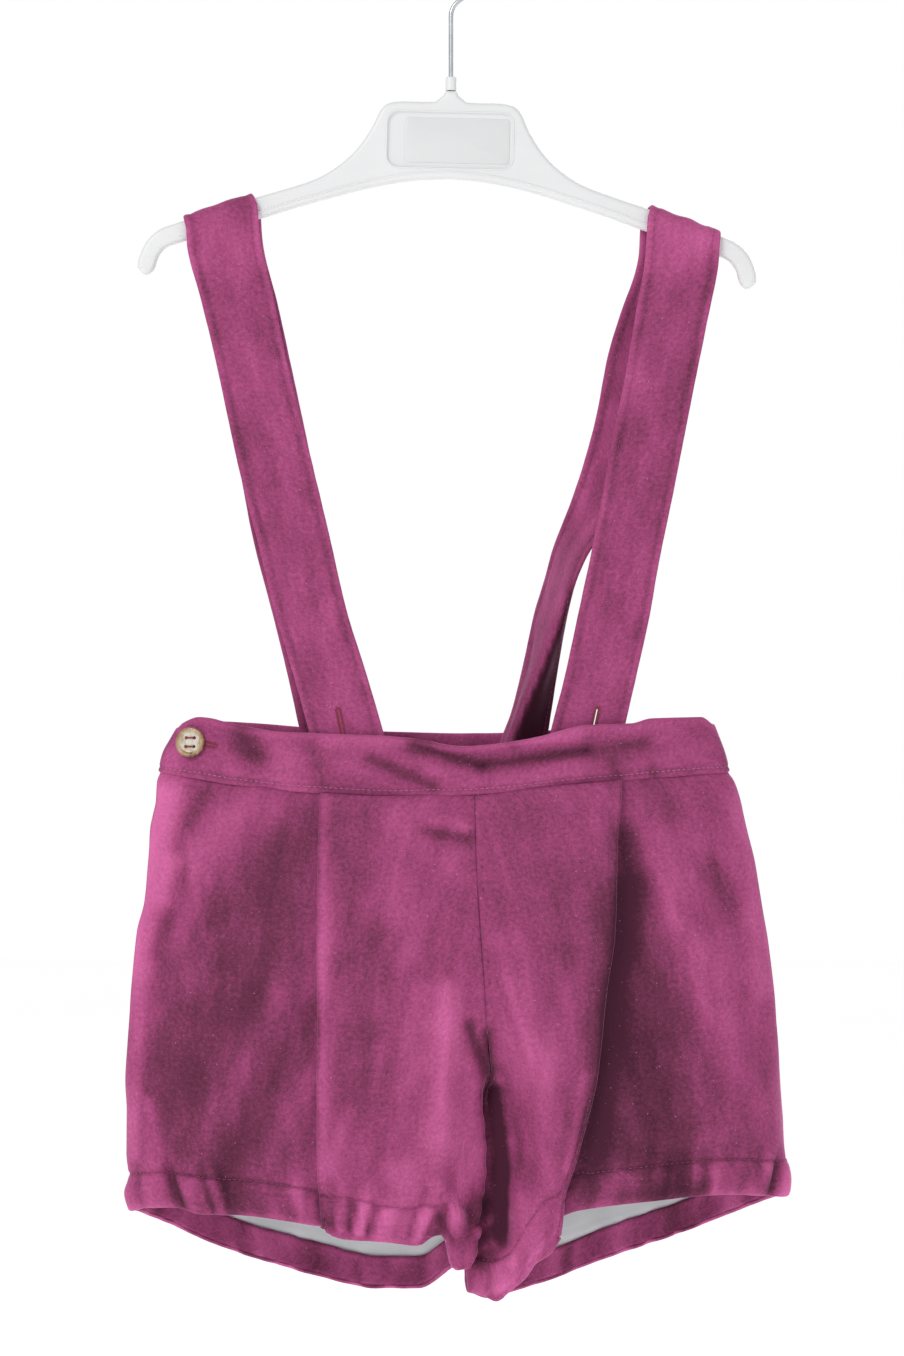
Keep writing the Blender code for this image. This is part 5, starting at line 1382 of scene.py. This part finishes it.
class SHORTS_OT_braces(bpy.types.Operator):
    """Make the two braces, each a velvet band sewn double and stitched along both edges"""

    bl_idname = "shorts.braces"
    bl_label = "Braces"

    def execute(self, context):
        for k, leg in enumerate(LEGS):
            points = brace_points(leg)
            width = np.linalg.norm(points[:, -1] - points[:, 0], axis=1)[:, None]
            to_edge = np.minimum(ACROSS_BRACE, 1.0 - ACROSS_BRACE) * width + 1.0
            to_stitches = to_edge - STITCHES_FROM_EDGE
            soft = wavering(points, 26.0, 50.0 + k) * 0.45 + wavering(points, 9.0, 52.0 + k) * 0.16
            arm = bell(-points[:, :, 2] - 163.0, 17.0) * (points[:, :, 1] < 6.0)
            soft = soft + 0.9 * arm * np.sin(ACROSS_BRACE * 15.0 + 0.8 + 2.0 * k)
            lift = soft * eased((to_edge - 1.0) / 4.0)
            points = points + grid_normals(points, -1.0) * lift[:, :, None]

            dimples = wavering(points, 5.0, 58.0 + k, squeeze=(1.0, 1.0, 0.6))
            dimples = np.clip(2.2 * dimples, -1.0, 1.0) * bell(to_edge - 4.0, 2.4)
            half = STRAP_CLOTH / 2.0 - 0.34 * bell(to_stitches, 0.9)
            half = half + 0.14 * eased((to_edge - 4.0) / 8.0) + 0.07 * wavering(points, 6.0, 54.0 + k)
            half = np.maximum(half + 0.16 * dimples, 0.7)
            # Painted light and shade: painted highlights along the edges and over the top of the arm,
            # painted shade along the stitching, on the dimples and in the fold, with random streaks of
            # the pile's own tone.
            shade = 0.3 * bell(to_edge, 1.6) - 0.3 * bell(to_stitches, 0.9) + 0.16 * dimples
            shade = shade + 0.3 * wavering(points, 11.0, 56.0 + k, squeeze=(1.0, 1.0, 0.25))
            shade = shade + 0.5 * bell(-points[:, :, 2] - 160.0, 16.0)
            near = shade + fold_shadow(points) if leg == "right" else shade
            ring = double_cloth(points, half, -1.0)

            count, columns = len(ACROSS_BRACE), ring.shape[1]
            sewn = (2, count - 3, columns - ARC_STEPS - 2, count + ARC_STEPS + 1)
            shades = ring_shade(near, shade)
            sheet = BRACE_CUT, "hung", "hanger_frame"
            lines = add_band("brace_" + leg, "strap_" + leg, ring, shades, -1.0, 0.5, *sheet, sewn)
            STITCH_LINES["seam_brace_" + leg] = lines
        return {"FINISHED"}


class SHORTS_OT_stitching(bpy.types.Operator):
    """Sew the hems, the waistband's seam and the braces' edges"""

    bl_idname = "shorts.stitching"
    bl_label = "Stitching"

    def execute(self, context):
        lines = dict(STITCH_LINES)
        for (leg, side), panel in leg_panels().items():
            lines[f"seam_hem_{side}_{leg}"] = panel_stitches(panel)
        for name, runs in lines.items():
            places = [place for line in runs for place in stitch_places(*line)]
            thread = "Pale seam thread" if name == "seam_waist_front" else "Seam thread"
            add_piece(name, thread_lengths(name, places), thread, "velvet")
        return {"FINISHED"}


# ---------------------------------------------------------------- buttons


def spun(name, profile, segments, place=None):
    """A mesh turned round Z from a profile of (radius, height) in millimetres."""
    bm = bmesh.new()
    verts = [bm.verts.new((radius * MM, 0.0, height * MM)) for radius, height in profile]
    edges = [bm.edges.new(pair) for pair in zip(verts, verts[1:])]
    bmesh.ops.spin(
        bm,
        geom=verts + edges,
        cent=(0.0, 0.0, 0.0),
        axis=(0.0, 0.0, 1.0),
        angle=math.tau,
        steps=segments,
        use_merge=True,
    )
    bmesh.ops.remove_doubles(bm, verts=bm.verts, dist=0.01 * MM)
    bmesh.ops.recalc_face_normals(bm, faces=bm.faces)
    return mesh_of(name, bm, place)


def swept(points, radius, segments=3, closed=False):
    """A mesh tube of a radius in millimetres along points in metres."""
    curve = bpy.data.curves.new("tube", "CURVE")
    curve.dimensions = "3D"
    curve.bevel_depth = radius * MM
    curve.bevel_resolution = segments
    curve.use_fill_caps = True
    spline = curve.splines.new("POLY")
    spline.points.add(len(points) - 1)
    for point, here in zip(spline.points, points):
        point.co = (*here, 1.0)
    spline.use_cyclic_u = closed
    obj = linked("tube", curve)
    mesh = evaluated(obj)
    bpy.data.objects.remove(obj)
    return mesh


def joined(name, meshes, place=None):
    """One mesh of several tubes, each closed at its seams."""
    whole = bmesh.new()
    for mesh in meshes:
        bm = bmesh.new()
        bm.from_mesh(mesh)
        bmesh.ops.remove_doubles(bm, verts=bm.verts, dist=0.002 * MM)
        bmesh.ops.recalc_face_normals(bm, faces=bm.faces)
        bm.to_mesh(mesh)
        bm.free()
        whole.from_mesh(mesh)
    return mesh_of(name, whole, place)


def button_profile(radius, thickness):
    """Half of a button's section: a dished face, a round rim and a flat underside."""
    face = [(0.0, 0.02), (radius * 0.5, 0.04), (radius * 0.66, 0.2), (radius * 0.76, thickness * 0.36)]
    round_rim = thickness * 0.42
    rim = [
        (radius - round_rim * (1.0 - math.sin(angle)), round_rim * math.cos(angle))
        for angle in np.linspace(0.0, math.pi, 11)
    ]
    under = [(radius * 0.6, -thickness * 0.48), (0.0, -thickness * 0.5)]
    return face + rim + under


def button_place(node):
    """Where a button's solid lies: its middle, with Z through the button away from the cloth."""
    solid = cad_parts[node]
    corners = np.array([tuple(solid.matrix_world @ vert.co) for vert in solid.data.vertices])
    middle = (corners.min(axis=0) + corners.max(axis=0)) / 2.0
    outward = Vector(np.linalg.eigh(np.cov((corners - middle).T))[1][:, 0])
    if (outward.y > 0.0) == (node == "side_button"):
        outward.negate()
    return Matrix.Translation(Vector(middle)) @ outward.to_track_quat("Z", "Y").to_matrix().to_4x4()


def add_button(name, node, radius, thickness, surface, slot):
    """A four-hole button where its solid lies, and the thread through it. Returns its place."""
    place = button_place(node)
    spacing = radius * 0.28
    mesh = spun(name, button_profile(radius, thickness), 56)
    rims = [max(0.0, Vector(v.co[:2]).length / MM / radius - 0.55) * 2.2 for v in mesh.vertices]
    set_shade(mesh, rims)
    piece = add_piece(name, mesh, surface, slot, node)
    holes = bmesh.new()
    width = radius * 0.11 * MM
    for x in (-spacing, spacing):
        for y in (-spacing, spacing):
            hole = bmesh.ops.create_cone(
                holes, cap_ends=True, segments=20, radius1=width, radius2=width, depth=12.0 * MM
            )
            bmesh.ops.translate(holes, verts=hole["verts"], vec=(x * MM, y * MM, 0.0))
    cut_out(piece, mesh_of("holes", holes))
    piece.data.transform(place)
    piece.data.set_sharp_from_angle(angle=math.radians(40.0))

    section = [(-1.0, -thickness * 0.4), (-1.0, 0.25)]
    section += [(x, 0.42 + 0.12 * (1.0 - x * x)) for x in (-0.7, -0.3, 0.3, 0.7)]
    section += [(1.0, 0.25), (1.0, -thickness * 0.4)]
    bars = []
    for y in (-spacing - 0.22, -spacing + 0.22, spacing - 0.22, spacing + 0.22):
        bars.append(swept([Vector((x * spacing, y, z)) * MM for x, z in section], 0.2, 1))
    add_piece(name + "_thread", joined(name + "_thread", bars, place), "Buttonhole thread", slot)
    return place


def seen_surface(name, x, drop):
    """Where a piece is met straight from the front, and its normal there."""
    bpy.context.view_layer.update()
    start = Vector((x, -200.0, -drop)) * MM
    found, place, normal, _ = bpy.data.objects[name].ray_cast(start, Vector((0.0, 1.0, 0.0)))
    if not found:
        raise RuntimeError(f"{name} isn't met at {x}, {drop}")
    return place / MM, normal


def add_buttonhole(name, cloth, start, towards, length):
    """Close stitches across both sides and both ends of a slit. Returns its place and directions."""
    centre, normal = seen_surface(cloth, *start)
    along = (seen_surface(cloth, *towards)[0] - centre).normalized()
    normal = normal.normalized()
    side = normal.cross(along)
    places = []
    straight = int(length / HOLE_STITCHES)
    for k in range(straight + 1):
        shift = (k / straight - 0.5) * length
        for hand in (-1.0, 1.0):
            point = centre + along * shift + side * hand * 0.95 + normal * 0.12
            places.append(facing_matrix(point, side, normal, 1.35, 0.46, 0.5))
    for end in (-1.0, 1.0):
        for k in range(-2, 3):
            point = centre + along * end * (length / 2.0 + 0.5) + side * k * 0.38 + normal * 0.14
            places.append(facing_matrix(point, along, normal, 1.3, 0.46, 0.52))
    add_piece(name, thread_lengths(name, places), "Buttonhole thread", "velvet")
    return centre, along, normal


class SHORTS_OT_buttons(bpy.types.Operator):
    """Make the buttons with their thread, and the buttonholes"""

    bl_idname = "shorts.buttons"
    bl_label = "Buttons and buttonholes"

    def execute(self, context):
        look = "Horn button", "horn_button"
        place = add_button("horn_side_button", "side_button", *SIDE_BUTTON, *look)
        for leg in LEGS:
            look = "Plain button", "plain_button"
            add_button("brace_button_" + leg, "strap_button_" + leg, *BRACE_BUTTON, *look)
        x = place.translation.x / MM
        ends = (x + 9.0, 401.6), (x + 12.0, 402.2)
        add_buttonhole("side_buttonhole", "velvet_waistband_front", *ends, 7.0)
        for leg, x, drop in (("left", -53.0, 391.0), ("right", 69.2, 390.5)):
            brace = "velvet_brace_" + leg
            ends = (x, drop), (x - TOWARDS_MIDDLE[leg] * 1.3, drop - 6.0)
            slit = add_buttonhole("brace_buttonhole_" + leg, brace, *ends, 13.0)
            if leg == "right":
                cut_slit(bpy.data.objects[brace], *slit)
        return {"FINISHED"}


def cut_slit(piece, point, along, normal):
    """Cuts a buttonhole through a piece, as it hangs open."""
    bm = bmesh.new()
    bmesh.ops.create_cube(bm, size=1.0)
    bm.transform(facing_matrix(point, along, normal, 12.0, 0.8, 9.0))
    bmesh.ops.recalc_face_normals(bm, faces=bm.faces)
    cut_out(piece, mesh_of("slit", bm))


# ---------------------------------------------------------------- hanger


def smooth_outline(rows):
    """Points on smooth curves through an outline's rows, three between one row and the next."""
    points = [Vector((row.x, -row.below)) for row in rows]
    finer = []
    for i in range(len(points) - 1):
        before, start = points[max(i - 1, 0)], points[i]
        end, after = points[i + 1], points[min(i + 2, len(points) - 1)]
        slopes = (end - before) * 0.5, (after - start) * 0.5
        finer += [on_curve(start, slopes[0], end, slopes[1], t) for t in (0.0, 0.25, 0.5, 0.75)]
    return [*finer, points[-1]]


def mirrored(points):
    return [Vector((-p.x, p.y)) for p in reversed(points)]


def shifted(x, y, z):
    return Matrix.Translation((x * MM, y * MM, z * MM))


def hanger_place():
    """Stands a flat XY shape upright, with the hanger's tilt, at the middle of its plateau."""
    upright = Matrix.Rotation(math.pi / 2.0, 4, "X")
    tilt = Matrix.Rotation(HANGER_TILT, 4, "Y")
    return shifted(0.0, 0.0, -PLATEAU_DROP) @ tilt @ upright


def rounded_rectangle(width, height, corner, steps=6):
    points = []
    for quarter in range(4):
        centre_angle = math.pi / 2.0 * (quarter + 0.5)
        x = math.copysign(width / 2.0 - corner, math.cos(centre_angle))
        y = math.copysign(height / 2.0 - corner, math.sin(centre_angle))
        for i in range(steps + 1):
            angle = math.pi / 2.0 * (quarter + i / steps)
            points.append((x + corner * math.cos(angle), y + corner * math.sin(angle)))
    return points


def slab(name, outline, thickness, bevel, segments, place):
    """A flat plate of an outline in millimetres, its two faces' edges rounded."""
    bm = bmesh.new()
    face = bm.faces.new([bm.verts.new((x * MM, y * MM, -thickness / 2.0 * MM)) for x, y in outline])
    made = bmesh.ops.extrude_face_region(bm, geom=[face])
    top = [item for item in made["geom"] if isinstance(item, bmesh.types.BMVert)]
    bmesh.ops.translate(bm, verts=top, vec=(0.0, 0.0, thickness * MM))
    bmesh.ops.recalc_face_normals(bm, faces=bm.faces)
    rims = [edge for edge in bm.edges if abs(edge.verts[0].co.z - edge.verts[1].co.z) < 1e-7]
    bmesh.ops.bevel(
        bm,
        geom=rims,
        offset=bevel * MM,
        segments=segments,
        affect="EDGES",
        profile=0.5,
        material=-1,
        clamp_overlap=True,
    )
    return mesh_of(name, bm, place)


def rounded_slab(name, outline, thickness, radius, segments, place):
    """A flat plate with round edges: rings of the outline, drawn in towards both faces."""
    points = np.array([(x, y) for x, y in outline])
    after = np.roll(points, -1, axis=0)
    along = unit(after - np.roll(points, 1, axis=0))
    area = np.sum(points[:, 0] * after[:, 1] - after[:, 0] * points[:, 1])
    inward = np.stack((-along[:, 1], along[:, 0]), axis=1) * math.copysign(1.0, area)
    quarter = [
        (radius * (1.0 - math.sin(angle)), -thickness / 2.0 + radius * (1.0 - math.cos(angle)))
        for angle in np.linspace(0.0, math.pi / 2.0, segments + 1)
    ]
    bm = bmesh.new()
    rings = []
    for inset, height in quarter + [(inset, -height) for inset, height in reversed(quarter)]:
        ring = points + inward * inset
        rings.append([bm.verts.new((x * MM, y * MM, height * MM)) for x, y in ring])
    for low, high in zip(rings, rings[1:]):
        for i in range(len(low)):
            bm.faces.new((low[i - 1], low[i], high[i], high[i - 1]))
    bm.faces.new(rings[0])
    bm.faces.new(rings[-1])
    bmesh.ops.recalc_face_normals(bm, faces=bm.faces)
    return mesh_of(name, bm, place)


class SHORTS_OT_hanger(bpy.types.Operator):
    """Make the moulded hanger with its recess, beads, collar and fins"""

    bl_idname = "shorts.hanger"
    bl_label = "Hanger"

    def execute(self, context):
        place = hanger_place()
        white = "White plastic", "hanger_plastic"
        surface = HANGER_THICKNESS / 2.0
        foot = [Vector((row.x, -row.below)) for row in COLLAR_FOOT]
        half = foot + smooth_outline(HANGER_TOP[1:]) + smooth_outline(HANGER_BELOW)
        outline = half + mirrored(half[1:-1])
        mesh = rounded_slab("hanger_frame", outline, HANGER_THICKNESS, 2.2, 6, place)
        body = add_piece("hanger_frame", mesh, *white, "hanger_body")
        pocket = rounded_rectangle(*RECESS)
        places = [place @ shifted(0.0, -RECESS_DROP, side * surface) for side in (-1.0, 1.0)]
        cut_out(body, *[slab("pocket", pocket, 2.4, 1.1, 4, here) for here in places])
        body.data.set_sharp_from_angle(angle=SHARP_FROM)

        recess = [(x, y - RECESS_DROP) for x, y in rounded_rectangle(*RECESS_BEAD)]
        edge = smooth_outline([row for row in HANGER_BELOW if row.x <= 131.0])
        edge = [(p.x, p.y + 3.2) for p in edge + mirrored(edge[:-1])]
        beads = []
        for side in (-1.0, 1.0):
            for line, depth, radius in ((recess, 0.1, 0.45), (edge, 0.12, 0.5)):
                points = [Vector((x, y, side * (surface - depth))) * MM for x, y in line]
                beads.append(swept(points, radius, 2, closed=line is recess))
        add_piece("hanger_beads", joined("hanger_beads", beads, place), *white)
        here = place @ shifted(3.4, -18.6, 0.0)
        mesh = slab("recess_pane", rounded_rectangle(*RECESS_PANE), 5.2, 0.3, 2, here)
        add_piece("recess_pane", mesh, "Recess plastic", "hanger_plastic")

        foot_drop = PLATEAU_DROP + COLLAR_FOOT[0].below - 0.4
        bore = WIRE_DIAMETER / 2.0 + SEAM_GAP
        profile = [(bore, 0.0), (bore, 6.6), (2.0, 6.6), (2.3, 6.45), (2.5, 6.2), (2.6, 5.9)]
        profile += [(2.6, 0.0), (bore, 0.0)]
        mesh = spun("hanger_neck", profile, 40, shifted(0.0, 0.0, -foot_drop))
        collar = add_piece("hanger_neck", mesh, *white, "hanger_collar")
        collar.data.set_sharp_from_angle(angle=SHARP_FROM)
        return {"FINISHED"}


def on_circle(centre, radius, angle):
    return centre + radius * Vector((math.cos(angle), math.sin(angle)))


def hook_line():
    """The wire's middle line: up the shank, round the neck bend and round the hook."""
    leaves, ends = math.radians(-52.0), math.radians(196.0)
    centre = Vector((0.0, -HOOK_RADIUS + WIRE_DIAMETER / 2.0))
    leave = on_circle(centre, HOOK_RADIUS, leaves)
    heading = Vector((-math.sin(leaves), math.cos(leaves)))
    turn = math.atan2(heading.x, heading.y)
    bend_end = leave - heading * ((leave.x - NECK_BEND * (1.0 - math.cos(turn))) / heading.x)
    bend_start = Vector((0.0, bend_end.y - NECK_BEND * math.sin(turn)))
    low = -(PLATEAU_DROP + COLLAR_FOOT[0].below - 0.8)
    points = [Vector((0.0, mixed(low, bend_start.y, i / 8.0))) for i in range(8)]
    for angle in np.linspace(0.0, turn, 10):
        points.append(bend_start + NECK_BEND * Vector((1.0 - math.cos(angle), math.sin(angle))))
    points.append(bend_end.lerp(leave, 0.5))
    points += [on_circle(centre, HOOK_RADIUS, angle) for angle in np.linspace(leaves, ends, 64)]
    return [Vector((p.x, 0.0, p.y)) * MM for p in points]


class SHORTS_OT_hook(bpy.types.Operator):
    """Bend the wire hook"""

    bl_idname = "shorts.hook"
    bl_label = "Hook"

    def execute(self, context):
        mesh = joined("wire_hook", [swept(hook_line(), WIRE_DIAMETER / 2.0, 5)])
        add_piece("wire_hook", mesh, "Hook wire", "hook_wire", "hanger_hook")
        return {"FINISHED"}


# ---------------------------------------------------------------- stage


def add_light(name, place, width, power):
    data = bpy.data.lights.new(name, "AREA")
    data.size = width
    data.energy = power
    light = linked(name, data)
    light.location = place
    direction = Vector((0.0, 0.0, -0.45)) - Vector(place)
    light.rotation_euler = direction.to_track_quat("-Z", "Y").to_euler()


class SHORTS_OT_stage(bpy.types.Operator):
    """Set up the pale floor, the soft light and the camera"""

    bl_idname = "shorts.stage"
    bl_label = "Stage"

    def execute(self, context):
        scene = context.scene
        bm = bmesh.new()
        bmesh.ops.create_grid(bm, x_segments=2, y_segments=2, size=8.0)
        mesh = mesh_of("floor", bm, Matrix.Translation((0.0, 0.0, -1.05)))
        mesh.materials.append(material("Pale floor"))
        linked("floor", mesh)

        world = bpy.data.worlds.new("Soft studio")
        scene.world = world
        world.use_nodes = True
        nodes, links = world.node_tree.nodes, world.node_tree.links
        nodes["Background"].inputs["Color"].default_value = (1.0, 1.0, 1.0, 1.0)
        seen = nodes.new("ShaderNodeLightPath")
        strength = nodes.new("ShaderNodeMapRange")
        strength.inputs["To Min"].default_value = 0.62
        strength.inputs["To Max"].default_value = 1.0
        links.new(seen.outputs["Is Camera Ray"], strength.inputs["Value"])
        links.new(strength.outputs["Result"], nodes["Background"].inputs["Strength"])
        add_light("Key", (-1.3, -1.7, 0.9), 0.9, 24.0)
        add_light("Fill", (1.6, -1.4, 0.2), 1.4, 5.0)
        add_light("Back", (0.6, 1.8, 0.8), 1.2, 10.0)

        data = bpy.data.cameras.new("Camera")
        data.sensor_width = 36.0
        data.lens = 36.0 * VIEW_DISTANCE / VIEW_HEIGHT
        camera = linked("Camera", data)
        camera.location = (VIEW_MIDDLE[0] * MM, -VIEW_DISTANCE * MM, -VIEW_MIDDLE[1] * MM)
        camera.rotation_euler = (math.pi / 2.0, 0.0, 0.0)
        scene.camera = camera
        scene.view_settings.view_transform = "Standard"
        return {"FINISHED"}


class SHORTS_PT_panel(bpy.types.Panel):
    """Sidebar panel with the sizes, the colours and the steps in order"""

    bl_label = "Velvet shorts"
    bl_idname = "SHORTS_PT_panel"
    bl_space_type = "VIEW_3D"
    bl_region_type = "UI"
    bl_category = "Shorts"

    def draw(self, context):
        for group in (context.scene.shorts_sizes, context.scene.shorts_colours):
            box = self.layout.box()
            for name in group.bl_rna.properties.keys():
                if name not in ("rna_type", "name"):
                    box.prop(group, name)
        for operator in OPERATORS:
            self.layout.operator(operator.bl_idname)


OPERATORS = (
    SHORTS_OT_stage,
    SHORTS_OT_hanger,
    SHORTS_OT_hook,
    SHORTS_OT_legs,
    SHORTS_OT_hems,
    SHORTS_OT_waistband,
    SHORTS_OT_braces,
    SHORTS_OT_buttons,
    SHORTS_OT_stitching,
)
CLASSES = (ShortsSizes, ShortsColours, *OPERATORS, SHORTS_PT_panel)


def register():
    for item in CLASSES:
        bpy.utils.register_class(item)
    bpy.types.Scene.shorts_sizes = bpy.props.PointerProperty(type=ShortsSizes)
    bpy.types.Scene.shorts_colours = bpy.props.PointerProperty(type=ShortsColours)


def unregister():
    del bpy.types.Scene.shorts_colours
    del bpy.types.Scene.shorts_sizes
    for item in reversed(CLASSES):
        bpy.utils.unregister_class(item)


def main():
    register()
    bpy.ops.shorts.stage()
    bpy.ops.shorts.hanger()
    bpy.ops.shorts.hook()
    bpy.ops.shorts.legs()
    bpy.ops.shorts.hems()
    bpy.ops.shorts.waistband()
    bpy.ops.shorts.braces()
    bpy.ops.shorts.buttons()
    bpy.ops.shorts.stitching()


if __name__ == "__main__":
    main()
